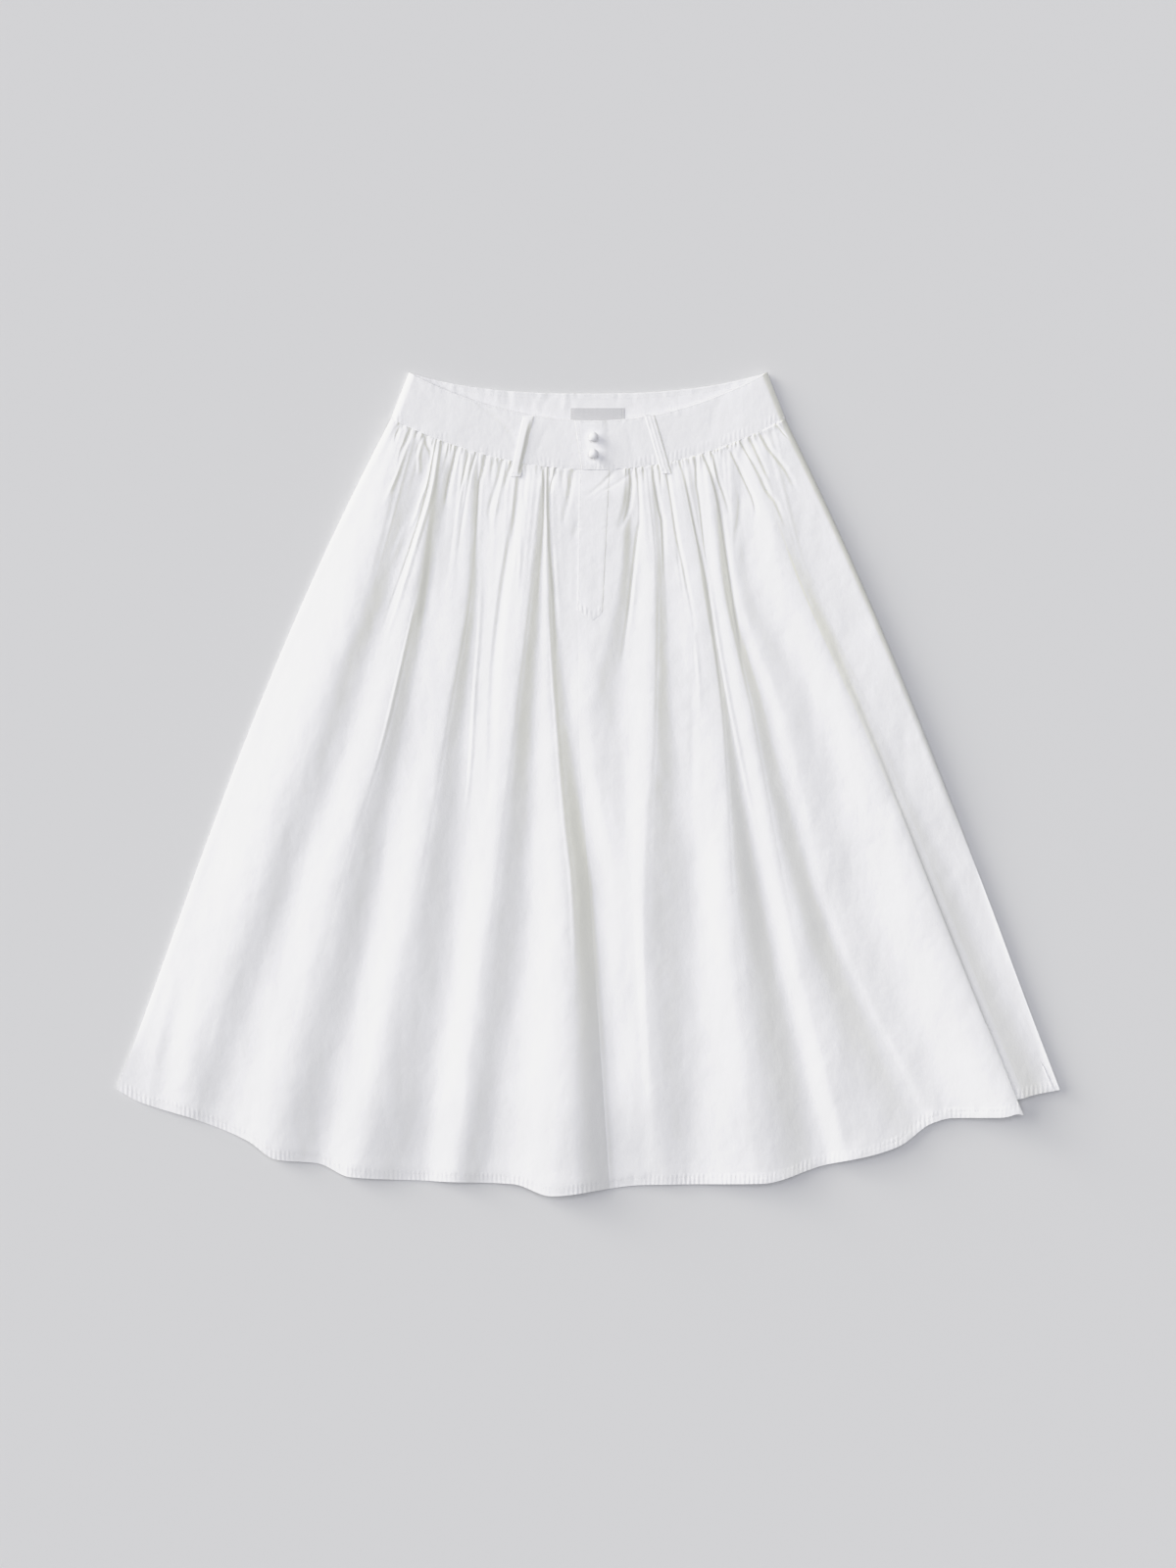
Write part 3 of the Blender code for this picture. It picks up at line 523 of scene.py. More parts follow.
def front_height(x, drop, start=None):
    """The upper surface of the front panels, with all that shows on it."""
    z = front_folds(x, drop)
    below = drop - seam_drop(x)
    if start is not None:
        z = z + gathered(start, below, FRONT_GATHERS)
    (first, fade_in), (last, fade_out) = CREST_LINE_FADES
    shown = ease((drop - first) / fade_in) * (1 - ease((drop - last) / fade_out))
    for fold, past in CREST_LINES:
        z = z - CREST_LINE_DEPTH * shown * rib(x - crest(FOLDS[fold], drop) - past, CREST_LINE_WIDTH)
    z = z + ease((below - CALM) / CALM_REACH) * sum(uneven(x, drop, waves) for waves in CLOTH_WAVES)
    beside = x - centre_seam(drop)
    for depth, first, reach in SEAM_GROOVES:
        z = z - depth * rib(beside, SEAM_GROOVE_WIDTH) * ease((drop - first) / reach)
    laddered = rib(beside, LADDER_WIDTH) * ease((drop - LADDER_DROP) / LADDER_FADE)
    z = z + uneven(x, drop, LADDER) * laddered
    above_hem = hem_drop(x) - drop
    turned = 1 - ease((above_hem - HEM_TURN) / HEM_STEP_WIDTH)
    z = z + HEM_STEP * (turned - rib(above_hem - HEM_STITCH_ROW, HEM_GROOVE_WIDTH))
    z = z + uneven(x, drop, HEM_PUCKERS) * rib(above_hem - HEM_TURN, PUCKER_REACH)
    z = sunk_hem(x, above_hem, z)
    edge = side_z(x, drop) + SIDE_GAP / 2
    z = edge + (z - edge) * rounded_side(x, drop)
    under_band = front_band_z(x) - BAND_WALL - PANEL_UNDER_BAND
    return under_band + (z - under_band) * ease((below + TUCK_IN) / TUCK_IN_REACH)


def crease_lean(x, drop):
    """How far the right-hand crease hangs over, which makes its edge a fold."""
    t = np.clip((x - crest(FOLDS[-1], drop)) / CREASE_WIDTH, 0.0, 1.0)
    return along(drop, STATIONS, CREASE_LEAN) * np.sin(2 * math.pi * t)


def points(x, drop, z):
    """World places, in metres, from the skirt's own measures."""
    return np.stack([x * MM, (LENGTH / 2 - drop) * MM, z * MM], axis=-1)


def shared_columns(lines, total):
    """Columns between neighbouring lines, as the number of the line on the left and a share past it."""
    drops = np.array(STATIONS, float)
    places = np.stack([line(drops) for line in lines])
    gaps = np.diff(places, axis=0)
    gaps = (gaps / gaps.sum(axis=0)).mean(axis=1)
    counts = np.maximum(1, np.round(gaps * total)).astype(int)
    table = [(k, step / count) for k, count in enumerate(counts) for step in range(count)]
    return table + [(len(counts) - 1, 1.0)]


def panel_rows():
    """Row places from the seam to the hem: close under the gathers and again at the hem."""
    gathers, hem = 0.08, 0.965
    between = gathers + (hem - gathers) * np.linspace(0, 1, 98) ** 1.25
    return np.concatenate([np.linspace(0, gathers, 46)[:-1], between[:-1], np.linspace(hem, 1, 18)])


FIRST_GUESS, LAST_GUESS = 70.0, 740.0
SETTLING_STEPS = 8


def panel_grid(lines, total, shares, top, foot, height, lean=None):
    """A panel's points and its cloth coordinates, from its top edge down to its hem.

    Each column's two ends settle on the top edge and the hem in a few steps.
    """
    columns, cloth = [], []
    table = shared_columns(lines, total)
    for number, (k, share) in enumerate(table):
        place = lambda drop: lines[k](drop) * (1 - share) + lines[k + 1](drop) * share
        first, last = np.array([FIRST_GUESS]), np.array([LAST_GUESS])
        for _ in range(SETTLING_STEPS):
            first, last = top(place(first)), foot(place(last))
        drop = first + (last - first) * shares
        x = place(drop)
        z = height(x, drop, x[0])
        if lean is not None:
            x = x + lean(x, drop)
        columns.append(points(x, drop, z))
        cloth.append(np.stack([np.full_like(drop, number / len(table)), (last - drop) * MM], axis=-1))
    return np.stack(columns, axis=1), np.stack(cloth, axis=1)


def inset(side, share, drop):
    """A side outline, moved in by a share of the rounded edge's width."""
    return side_x(drop, side) - side * share * SIDE_ROUND


def inset_lines(side):
    """Lines round a side edge, from the outline inwards."""
    return [partial(inset, side, share) for share in SIDE_SHARES]


# The painted warm shade on the cloth: a warm tint on the walls of the folds that fall away to the
# right, away from the lamps, standing in for light bounced between walls of cloth. It needs a fall
# steeper than LEAST_FALL. Where the folds lie open, below OPEN_DROP, it is weaker. Near the middle
# they open lower down.
LEAST_FALL, FALL_STEEP = 0.05, 0.35
OPEN_DROP, OPEN_REACH = 180.0, 250.0
MIDDLE_LOWER, MIDDLE_WIDTH = 300.0, 60.0
OPEN_WEAKER, RIGHT_KEEPS, RIGHT_REACH = 0.7, 0.15, 100.0
CLOTH_EDGE_ANGLE = 62


def painted_shade_share(grid):
    """How much painted warm shade each point gets, from 0 to 1: most on the far wall of a crowded fold,
    which falls away from the lamps.
    """
    x, drop = grid[..., 0] / MM, LENGTH / 2 - grid[..., 1] / MM
    fall = -np.gradient(grid[..., 2], axis=1) / np.maximum(np.gradient(grid[..., 0], axis=1), 0.2 * MM)
    weaker = OPEN_WEAKER - RIGHT_KEEPS * ease(x / RIGHT_REACH)
    opened = ease((drop - OPEN_DROP - MIDDLE_LOWER * rib(x, MIDDLE_WIDTH)) / OPEN_REACH)
    return ease((fall - LEAST_FALL) / FALL_STEEP) * (1 - weaker * opened)


def sew_cloth(name, grid, cloth, cut_width, wall, finish):
    """A grid of points, rows down and columns to the right, made a cloth wall.

    cloth holds each point's place on the flat cut, as a share of cut_width and a height in metres.
    """
    rows, columns = grid.shape[:2]
    corner = np.arange(rows * columns).reshape(rows, columns)
    quads = np.stack([corner[:-1, :-1], corner[1:, :-1], corner[1:, 1:], corner[:-1, 1:]], axis=-1)
    mesh = bpy.data.meshes.new(name)
    mesh.from_pydata(grid.reshape(-1, 3).tolist(), [], quads.reshape(-1, 4).tolist())
    mesh.update()
    mesh.materials.append(finish)
    places = (cloth * np.array([cut_width, 1.0])).reshape(-1, 2)
    uv = mesh.uv_layers.new(name="cloth")
    uv.data.foreach_set("uv", places[quads.reshape(-1)].astype(np.float32).reshape(-1))
    # Each point's share of the painted warm shade, kept in the hollow attribute.
    painted_shade_values = mesh.attributes.new("hollow", "FLOAT", "POINT")
    painted_shade_values.data.foreach_set("value", painted_shade_share(grid).reshape(-1).astype(np.float32))
    piece = bpy.data.objects.new(name, mesh)
    scene.collection.objects.link(piece)
    piece.modifiers.new("wall", "SOLIDIFY").thickness = wall * MM
    bpy.ops.object.select_all(action="DESELECT")
    piece.select_set(True)
    bpy.context.view_layer.objects.active = piece
    bpy.ops.object.modifier_apply(modifier="wall")
    bpy.ops.object.shade_smooth_by_angle(angle=math.radians(CLOTH_EDGE_ANGLE))
    return piece


def add_node(tree, kind, *wired, **settings):
    """A shader node. wired holds links for its first sockets.

    settings holds values or links for its named sockets, and the node's own properties.
    """
    node = tree.nodes.new("ShaderNode" + kind)
    for key, value in settings.items():
        socket = key.replace("_", " ").title()
        if socket not in node.inputs:
            setattr(node, key, value)
        elif isinstance(value, bpy.types.NodeSocket):
            tree.links.new(value, node.inputs[socket])
        else:
            node.inputs[socket].default_value = value
    for source, socket in zip(wired, node.inputs):
        tree.links.new(source, socket)
    return node


def mottled(tree, pattern, colour, darkest, low=0.0, high=1.0):
    """A colour that is darker where a pattern is low."""
    tint = add_node(tree, "ValToRGB", fac=pattern.outputs["Fac"])
    for element, position, shade in zip(tint.color_ramp.elements, (low, high), (darkest, 1)):
        element.position = position
        element.color = [c * shade for c in colour] + [1]
    return tint.outputs["Color"]


POPLIN = {"Roughness": 0.86, "Specular IOR Level": 0.22, "Sheen Weight": 0.08}
HEM_TICKS = 72.0
TICKED_HEIGHTS = (0.0115, 0.0070)
TICKED_PATCHES = (0.38, 0.68)


def cotton_cloth(name, colour, painted_shade_colour, crease_depth):
    """Plain-woven cotton poplin: fine threads, a soft bloom, and small pressed-in creases.

    It carries a painted warm shade where the walls of the folds fall away from the lamps, and it
    has patches of fine ticks where the hem's stitches draw it up.
    """
    made, tree, shader = new_material(name, POPLIN)
    on_cut = add_node(tree, "UVMap", uv_map="cloth").outputs["UV"]
    place = add_node(tree, "TexCoord").outputs["Object"]
    cloudy = add_node(tree, "TexNoise", vector=place, scale=14.0, detail=4.0, roughness=0.6)
    # Painted warm shade: the hollow attribute tints the base colour on fold walls that fall away from
    # the lamps.
    shade_mask = add_node(tree, "Attribute", attribute_name="hollow")
    shade_tinted = add_node(tree, "Mix", data_type="RGBA", blend_type="MULTIPLY")
    shade_tinted.inputs[7].default_value = [*painted_shade_colour, 1]
    tree.links.new(shade_mask.outputs["Fac"], shade_tinted.inputs[0])
    tree.links.new(mottled(tree, cloudy, colour, 0.975, 0.3, 0.7), shade_tinted.inputs[6])
    tree.links.new(shade_tinted.outputs[2], shader.inputs["Base Color"])

    threads = []
    for turn in (0.0, math.pi / 2):
        turned = add_node(tree, "Mapping", vector=on_cut, rotation=(0, 0, turn))
        wave = add_node(tree, "TexWave", vector=turned.outputs["Vector"], scale=650.0, distortion=1.5)
        threads.append(wave.outputs["Fac"])
    weave = add_node(tree, "Math", *threads, operation="ADD")
    thread_bump = add_node(tree, "Bump", strength=0.12, distance=0.00008, height=weave.outputs["Value"])

    ticks = add_node(tree, "TexWave", vector=place, scale=HEM_TICKS, distortion=3.0, detail=2.0)
    ticks.inputs["Detail Scale"].default_value = 0.3
    up_cut = add_node(tree, "SeparateXYZ", vector=on_cut).outputs["Y"]
    patches = add_node(tree, "TexNoise", vector=place, scale=28.0, detail=3.0, roughness=0.7)
    drawn_up = ticks.outputs["Fac"]
    for value, (low, high) in ((up_cut, TICKED_HEIGHTS), (patches.outputs["Fac"], TICKED_PATCHES)):
        shown = add_node(tree, "MapRange", value=value, from_min=low, from_max=high)
        shown.interpolation_type = "SMOOTHSTEP"
        both = add_node(tree, "Math", drawn_up, shown.outputs["Result"], operation="MULTIPLY")
        drawn_up = both.outputs["Value"]
    stretched = add_node(tree, "Mapping", vector=place, scale=(1.0, 0.85, 1.0)).outputs["Vector"]
    creases = add_node(tree, "TexNoise", vector=stretched, scale=70.0, detail=4.0, roughness=0.6)
    normal = thread_bump.outputs["Normal"]
    for height, deep in ((drawn_up, 0.0003), (creases.outputs["Fac"], crease_depth)):
        bump = add_node(tree, "Bump", strength=1.0, distance=deep, height=height, normal=normal)
        normal = bump.outputs["Normal"]
    tree.links.new(normal, shader.inputs["Normal"])
    return made


COTTON_WHITE = (0.871, 0.871, 0.886)
# The colour of the painted warm shade on the cloth's fold walls that face away from the lamps.
PAINTED_WARM_SHADE = (0.994, 0.99, 0.895)
cotton = cotton_cloth("cotton", COTTON_WHITE, PAINTED_WARM_SHADE, 0.00065)

FRONT_CUT = (0.50, 0.70)
LINE_GAP = 0.2


def fold_lines(folds):
    """The lines along the tops and the hollows of some folds, from left to right."""
    return [partial(line, fold) for fold in folds for line in (crest, hollow)]


def clear_of_seam(line, gap):
    """A line kept a gap to the right of the centre-front seam, or to its left for a gap below 0."""
    keep = np.maximum if gap > 0 else np.minimum
    return lambda drop: keep(line(drop), centre_seam(drop) + gap)


LEFT_FOLDS, RIGHT_FOLDS = FOLDS[:5], FOLDS[5:]
left_lines = [centre_seam]
for n, line in enumerate(reversed(inset_lines(-1) + fold_lines(LEFT_FOLDS)), 1):
    left_lines.insert(0, clear_of_seam(line, -LINE_GAP * n))
right_lines = [centre_seam]
for n, line in enumerate(fold_lines(RIGHT_FOLDS), 1):
    right_lines.append(clear_of_seam(line, LINE_GAP * n))
right_lines += inset_lines(1)[::-1]


def panel_top(x):
    """The panels' top edge, sewn up behind the band."""
    return seam_drop(x) - TUCKED_UNDER


for name, lines, lean in (("front_left", left_lines, None), ("front_right", right_lines, crease_lean)):
    edges = (panel_top, hem_drop)
    grid, cloth = panel_grid(lines, PANEL_COLUMNS, panel_rows(), *edges, front_height, lean)
    panel = sew_cloth(name + "_cloth", grid, cloth, FRONT_CUT[0], PANEL_WALL, cotton)
    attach(panel, "root")
    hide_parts(name)

# ---------------------------------------- The back of the skirt
# One panel of the same poplin, gathered into the back band. It lies on the table with its outside
# down, and its side edges turn up to meet the front at the side seams.

BACK_TOP_DROP = 20.2
BACK_TOP_POWER = 2.6
BAND_HEIGHT = 48.0
BACK_BAND_Z = 1.5
BACK_TURNS_UP = 0.4
BACK_TUCK_IN, BACK_TUCK_IN_REACH = 0.3, 1.5
BACK_HEM_SHORTER = 8.0
CORNER_X, CORNER_SLANT = 400.0, 0.3
BACK_ROWS = 96
BACK_COLUMNS = 230
BACK_CUT = (1.00, 0.70)

# Folds that lift off the table: a line from near the band to the hem.
BackFold = namedtuple("BackFold", "top hem width height")
BACK_FOLDS = (
    BackFold(-170, -300, 15, 5.0),
    BackFold(-112, -214, 14, 4.5),
    BackFold(-50, -122, 15, 5.0),
    BackFold(64, 62, 15, 5.0),
    BackFold(122, 168, 13, 4.0),
)
BACK_FOLD_DROPS = (190, 760)
BACK_FOLD_START = 170.0
BACK_FOLD_FADE = 180.0
GATHERED_BACK = ((-188.0, 188.0),)
BACK_GATHERS = sewn_gathers(GATHERED_BACK, 4.2, (8.0, 40.0), (0.5, 1.2), 31)
BACK_GATHERS += sewn_gathers(GATHERED_BACK, 11.0, (80.0, 320.0), (0.3, 0.9), 32)


def back_seam_drop(x):
    """The gathered seam under the back band."""
    lowest = BACK_TOP_DROP + BAND_HEIGHT
    return lowest - (lowest - BAND_SIDE_DROP) * np.abs(x / BAND_FOOT_HALF) ** BACK_TOP_POWER


def back_hem_drop(x):
    """The hem of the back, just short of the front's except at the side corners."""
    middle = 1 - np.abs(x / HEM_HALF) ** 6
    corner = HEM_CORNER_DROP + (HEM_HALF - x) * CORNER_SLANT
    hem = np.where(x > CORNER_X, np.minimum(hem_drop(x), corner), hem_drop(x))
    return hem - BACK_HEM_SHORTER * middle


def back_fold_line(fold, edge):
    """The middle (0) or an edge (-1 or 1) of a fold of the back panel."""
    slant = (fold.hem - fold.top) / (BACK_FOLD_DROPS[1] - BACK_FOLD_DROPS[0])
    return lambda drop: fold.top + slant * (drop - BACK_FOLD_DROPS[0]) + edge * fold.width


def back_height(x, drop, start):
    """The under surface of the back: flat on the table but for its folds and gathers."""
    below = drop - back_seam_drop(x)
    z = BACK_BAND_Z * (1 - ease(below / TURN_ROUND)) + gathered(start, below, BACK_GATHERS)
    for fold in BACK_FOLDS:
        across = np.clip(np.abs(x - back_fold_line(fold, 0)(drop)) / fold.width, 0.0, 1.0)
        z = z + fold.height * ease((drop - BACK_FOLD_START) / BACK_FOLD_FADE) * ease(1 - across)
    edge = side_z(x, drop) - SIDE_GAP / 2
    z = edge + (z - edge) * rounded_side(x, drop)
    inside_band = BACK_BAND_Z + BACK_TURNS_UP
    return inside_band + (z - inside_band) * ease((below + BACK_TUCK_IN) / BACK_TUCK_IN_REACH)


back_lines = inset_lines(-1)
for fold in BACK_FOLDS:
    back_lines += [back_fold_line(fold, edge) for edge in (-1.0, 0.0, 1.0)]
back_lines += inset_lines(1)[::-1]
back_shares = np.linspace(0, 1, BACK_ROWS) ** 1.5


def back_panel_top(x):
    """The back panel's top edge, sewn up behind its band."""
    return back_seam_drop(x) - TUCKED_UNDER


back_edges = (back_panel_top, back_hem_drop)
grid, cloth = panel_grid(back_lines, BACK_COLUMNS, back_shares, *back_edges, back_height)
back = sew_cloth("back_cloth", grid[:, ::-1], cloth[:, ::-1], BACK_CUT[0], PANEL_WALL, cotton)
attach(back, "root")
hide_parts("back")

# ---------------------------------------- The waistband
# A shaped band of doubled, interfaced poplin. Its back half is one piece; its front is two, and the
# right one laps over the left at the buttons. Each is edge-stitched along its top and above the seam.

FRONT_TOP_DROP = 46.7
FRONT_DIP_X = 5.0
UNDERLAP_X = 15.0
OVERLAP_EDGE = (-13.0, -6.0)
OVERLAP_RISE, RISE_PAST, RISE_REACH = 0.5, 5.0, 6.0
OVERLAP_PRESS, PRESS_FROM, PRESS_REACH = 1.4, 0.2, 2.5
BAND_EDGE = 0.5
BAND_FOOT_ROLL = 0.2
LAP_ROLL = 0.5
BAND_STITCH_ROW = 1.8
LAP_STITCH_ROWS = (1.4, 3.4)
UNDERLAP_SHOWS, FINE_LINE = 0.12, 0.9
BACK_STITCH_ROW = 5.2
GROOVE_DEPTH, GROOVE_WIDTH = 0.08, 0.55
BAND_SIDE_ROUND = 6.0
FRONT_BAND_EDGE_Z = (3.4, 6.3)
BACK_BAND_EDGE_Z = (1.9, 4.5)
BAND_ROW_PLACES = (0, 0.1, 0.3, 0.6, 1.0, 1.4, 1.8, 2.2, 2.8, 3.8, 5.2, 7, 9, 11.5, 14, 17, 20)
BAND_END_PLACES = (0, 0.1, 0.3, 0.6, 1.0, 1.4, 1.8, 2.2, 2.6, 3.0, 3.6, 4.4, 5.4)
BAND_COLUMN = 1.3
FRONT_WAVES = Waves(0.18, 34, 22, 22)
BACK_WAVES = Waves(0.20, 30, 20, 27)

# The back band's puckers: drawn up most at its left and its top, and nearly flat from FLAT_FROM_X.
BACK_PUCKERS = Waves(0.50, 5.5, 18, 26)
FLAT_FROM_X, FLAT_REACH, FLAT_KEEPS = 20.0, 60.0, 0.25
PUCKERS_AT_TOP, PUCKERS_FADE = 1.2, 20.0
ROW_PUCKERS = Waves(0.16, 3.6, 100, 23)
ROW_PUCKER_REACH = 6.0

# Soft creases across the band, as tucks, and the short pulls beside the buttons: both ends and depth.
BAND_CREASE_ROWS = (
    (5, (-112, 24, 0), (-103, 33, 0.8), (-91, 42, 1.3), (-76.6, 56, 1.2), (-70, 67, 0)),
    (9, (-172, 8, 0), (-163, 18, 0.8), (-152, 30, 0.7), (-140, 44, 0)),
    (7, (128, 22, 0), (122, 36, 0.6), (118, 52, 0.5), (112, 70, 0)),
    (5, (-40, 50, 0), (-44, 62, 0.5), (-49, 74, 0.5), (-52, 88, 0)),
    (6, (36, 50, 0), (40, 62, 0.5), (43, 76, 0.4), (46, 88, 0)),
)
BAND_CREASES = [Tuck(width, route) for width, *route in BAND_CREASE_ROWS]
Pull = namedtuple("Pull", "x drop end_x end_drop depth")
BUTTON_PULLS = (
    Pull(1.0, 61.5, -9.0, 58.5, 0.42),
    Pull(0.5, 65.0, -9.5, 68.5, 0.45),
    Pull(1.0, 68.0, -6.0, 75.0, 0.36),
    Pull(0.5, 77.0, -8.0, 71.0, 0.4),
    Pull(0.5, 81.0, -8.0, 84.0, 0.45),
    Pull(3.0, 84.5, -2.0, 91.0, 0.34),
    Pull(9.5, 65.0, 14.0, 69.0, 0.22),
    Pull(9.5, 79.0, 14.5, 76.0, 0.22),
)


def front_top_drop(x):
    """The dipped top edge of the front band."""
    half = np.where(x < FRONT_DIP_X, WAIST_HALF + FRONT_DIP_X, WAIST_HALF - FRONT_DIP_X)
    return FRONT_TOP_DROP * (1 - np.abs((x - FRONT_DIP_X) / half) ** 2)


def back_top_drop(x):
    """The top edge of the back band."""
    return BACK_TOP_DROP * (1 - np.abs(x / WAIST_HALF) ** BACK_TOP_POWER)


def overlap_x(share):
    """The front edge of the closure, from the band's top (0) to its foot (1)."""
    return OVERLAP_EDGE[0] + (OVERLAP_EDGE[1] - OVERLAP_EDGE[0]) * share


def folded_edge(inside):
    """How far a folded edge drops away: a quarter circle as deep as the doubled cloth."""
    u = np.clip(1 - inside / BAND_EDGE, 0.0, 1.0)
    return BAND_EDGE * (1 - np.sqrt(1 - u * u))


def groove(inside, row):
    """The line that a row of stitches presses into the cloth."""
    return GROOVE_DEPTH * rib(inside - row, GROOVE_WIDTH)


def pulled(pulls, x, drop):
    """Short creases drawn out of a point, deepest at their start."""
    depth = np.zeros_like(x)
    for pull in pulls:
        dx, dd = pull.end_x - pull.x, pull.end_drop - pull.drop
        t = np.clip(((x - pull.x) * dx + (drop - pull.drop) * dd) / (dx * dx + dd * dd), 0.0, 1.0)
        off = np.hypot(x - pull.x - t * dx, drop - pull.drop - t * dd)
        depth = depth + pull.depth * rib(off, FINE_LINE) * (1 - t)
    return depth


def edge_puckers(x, inside, row):
    """Small waves that a row of stitches draws up along an edge, other ones for each row."""
    puckers = ROW_PUCKERS._replace(seed=ROW_PUCKERS.seed + row)
    return uneven(x, np.zeros_like(x), puckers) * rib(inside, ROW_PUCKER_REACH)


def band_side_x(share):
    """The band's side edge, from its top corner (0) to its foot (1)."""
    return WAIST_HALF + (BAND_FOOT_HALF - WAIST_HALF) * share


def round_ends(z, x, share, edge_z):
    """A band's height, turned down to its left and right edges."""
    u = np.clip((band_side_x(share) - np.abs(x)) / BAND_SIDE_ROUND, 0.0, 1.0)
    return z - (z - np.where(x < 0, *edge_z)) * (1 - u) ** 2


def front_band_surface(x, drop, share):
    """The front band's upper surface, but for the closure."""
    height = BAND_HEIGHT * np.ones_like(x)
    z = front_band_z(x) + uneven(x, drop, FRONT_WAVES) - pressed(BAND_CREASES, x, drop)
    for row, (part, rolled) in enumerate(((share, 1.0), (1 - share, BAND_FOOT_ROLL))):
        inside = part * height
        z = z - rolled * folded_edge(inside) - groove(inside, BAND_STITCH_ROW)
        z = z + edge_puckers(x, inside, row)
    return round_ends(z, x, share, FRONT_BAND_EDGE_Z)


def left_band_height(x, drop, share):
    """The left front band, pressed down where the other end laps over it."""
    lapped = ease((x - overlap_x(share) - PRESS_FROM) / PRESS_REACH)
    return front_band_surface(x, drop, share) - OVERLAP_PRESS * lapped


def right_band_height(x, drop, share):
    """The right front band, raised over the underlap and stitched twice along its end."""
    risen = OVERLAP_RISE * ease((UNDERLAP_X + RISE_PAST - x) / RISE_REACH)
    z = front_band_surface(x, drop, share) + risen
    inside = x - overlap_x(share)
    z = z - LAP_ROLL * folded_edge(inside) - sum(groove(inside, row) for row in LAP_STITCH_ROWS)
    return z - pulled(BUTTON_PULLS, x, drop) - UNDERLAP_SHOWS * rib(x - UNDERLAP_X, FINE_LINE)


def back_band_height(x, drop, share):
    """The inside of the back band, drawn up in small puckers by its stitching."""
    from_top = share * BAND_HEIGHT * np.ones_like(x)
    z = BACK_BAND_Z + BAND_WALL - folded_edge(from_top) - groove(from_top, BACK_STITCH_ROW)
    drawn_up = FLAT_KEEPS + (1 - FLAT_KEEPS) * ease((FLAT_FROM_X - x) / FLAT_REACH)
    fading = ease(PUCKERS_AT_TOP - from_top / PUCKERS_FADE)
    z = z + uneven(x, drop, BACK_PUCKERS) * drawn_up * fading
    z = z + uneven(x, drop, BACK_WAVES) + edge_puckers(x, from_top, 5)
    return round_ends(z, x, share, BACK_BAND_EDGE_Z)


def band_rows():
    """Row places down the band, close together at both edges."""
    places = np.array(BAND_ROW_PLACES) / BAND_HEIGHT
    return np.concatenate([places, [0.5], 1 - places[::-1]])


def band_columns(width):
    """Column places across a band, close together at both ends."""
    places = np.array(BAND_END_PLACES) / width
    middle = np.linspace(places[-1], 1 - places[-1], int(width / BAND_COLUMN))
    return np.concatenate([places[:-1], middle, 1 - places[-2::-1]])


def band_drop(x, share, top, foot):
    """The drop of a place on a band, a share of the way from its top edge to its foot."""
    half = band_side_x(share)
    upper, lower = top(x * WAIST_HALF / half), foot(x * BAND_FOOT_HALF / half)
    return upper + (lower - upper) * share


def band_grid(x_from, x_to, top, foot, height):
    """A band's points and cloth coordinates between two ends, each given for a row's share."""
    grid, cloth = [], []
    columns = band_columns(x_to(0.5) - x_from(0.5))
    for share in band_rows():
        x = x_from(share) + (x_to(share) - x_from(share)) * columns
        drop = band_drop(x, share, top, foot)
        grid.append(points(x, drop, height(x, drop, share)))
        cloth.append(np.stack([x * MM, np.full_like(x, (1 - share) * BAND_HEIGHT * MM)], axis=-1))
    return np.stack(grid), np.stack(cloth)


def left_side(share):
    """The band's left edge."""
    return -band_side_x(share)


def underlap_x(share):
    """The end of the underlap, which is cut straight."""
    return UNDERLAP_X


Band = namedtuple("Band", "node x_from x_to top foot height wall flat rests_on")
BANDS = (
    Band("band_back", left_side, band_side_x, back_top_drop, back_seam_drop, back_band_height,
         1.3, (0.40, 0.055), ["loop_back_left", "loop_back_right"]),
    Band("band_front_left", left_side, underlap_x, front_top_drop, seam_drop, left_band_height,
         0.7, (0.215, 0.055), ["band_back"]),
    Band("band_front_right", overlap_x, band_side_x, front_top_drop, seam_drop, right_band_height,
         0.7, (0.215, 0.055), ["band_front_left"]),
)
for band in BANDS:
    grid, cloth = band_grid(band.x_from, band.x_to, band.top, band.foot, band.height)
    piece = sew_cloth(band.node + "_cloth", grid, cloth, 1.0, band.wall, cotton)
    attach(piece, "root")
    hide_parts(band.node)

# ---------------------------------------- The fly placket
# A strip of doubled poplin sewn down over the top of the centre-front seam. Its long edges and its
# pointed foot are stitched flat to the right-hand panel.

PLACKET_LEFT = ((90, -8.5), (240, -10.5))
PLACKET_RIGHT = ((90, 21.5), (240, 14.0))
PLACKET_FOOT_DROP = 241.0
PLACKET_POINT_X = 4.0
PLACKET_SLANT = 0.62
PLACKET_RAISED = 0.30
PLACKET_WALL = 0.5
PLACKET_STITCH_ROW = 1.7
PLACKET_EDGE = 1.2
PLACKET_EDGES_SUNK = (0.16, 0.32, 0.32)
PLACKET_PUCKERS = Waves(0.12, 100, 3.6, 41)
PLACKET_SHORT = 0.8
PLACKET_COLUMNS = 36
PLACKET_CUT_WIDTH = 0.028
PLACKET_INSETS = (0.0, 0.25, 0.5, 0.8, 1.2, 1.6, 2.0, 2.5, 3.5)


def placket_edge(ends, inset=0.0):
    """A long edge of the placket, moved inwards."""
    (first, x), (last, end_x) = ends
    return lambda drop: x + (end_x - x) * (drop - first) / (last - first) + inset


def placket_foot(x):
    """The pointed foot of the placket."""
    return PLACKET_FOOT_DROP - PLACKET_SLANT * np.abs(x - PLACKET_POINT_X)


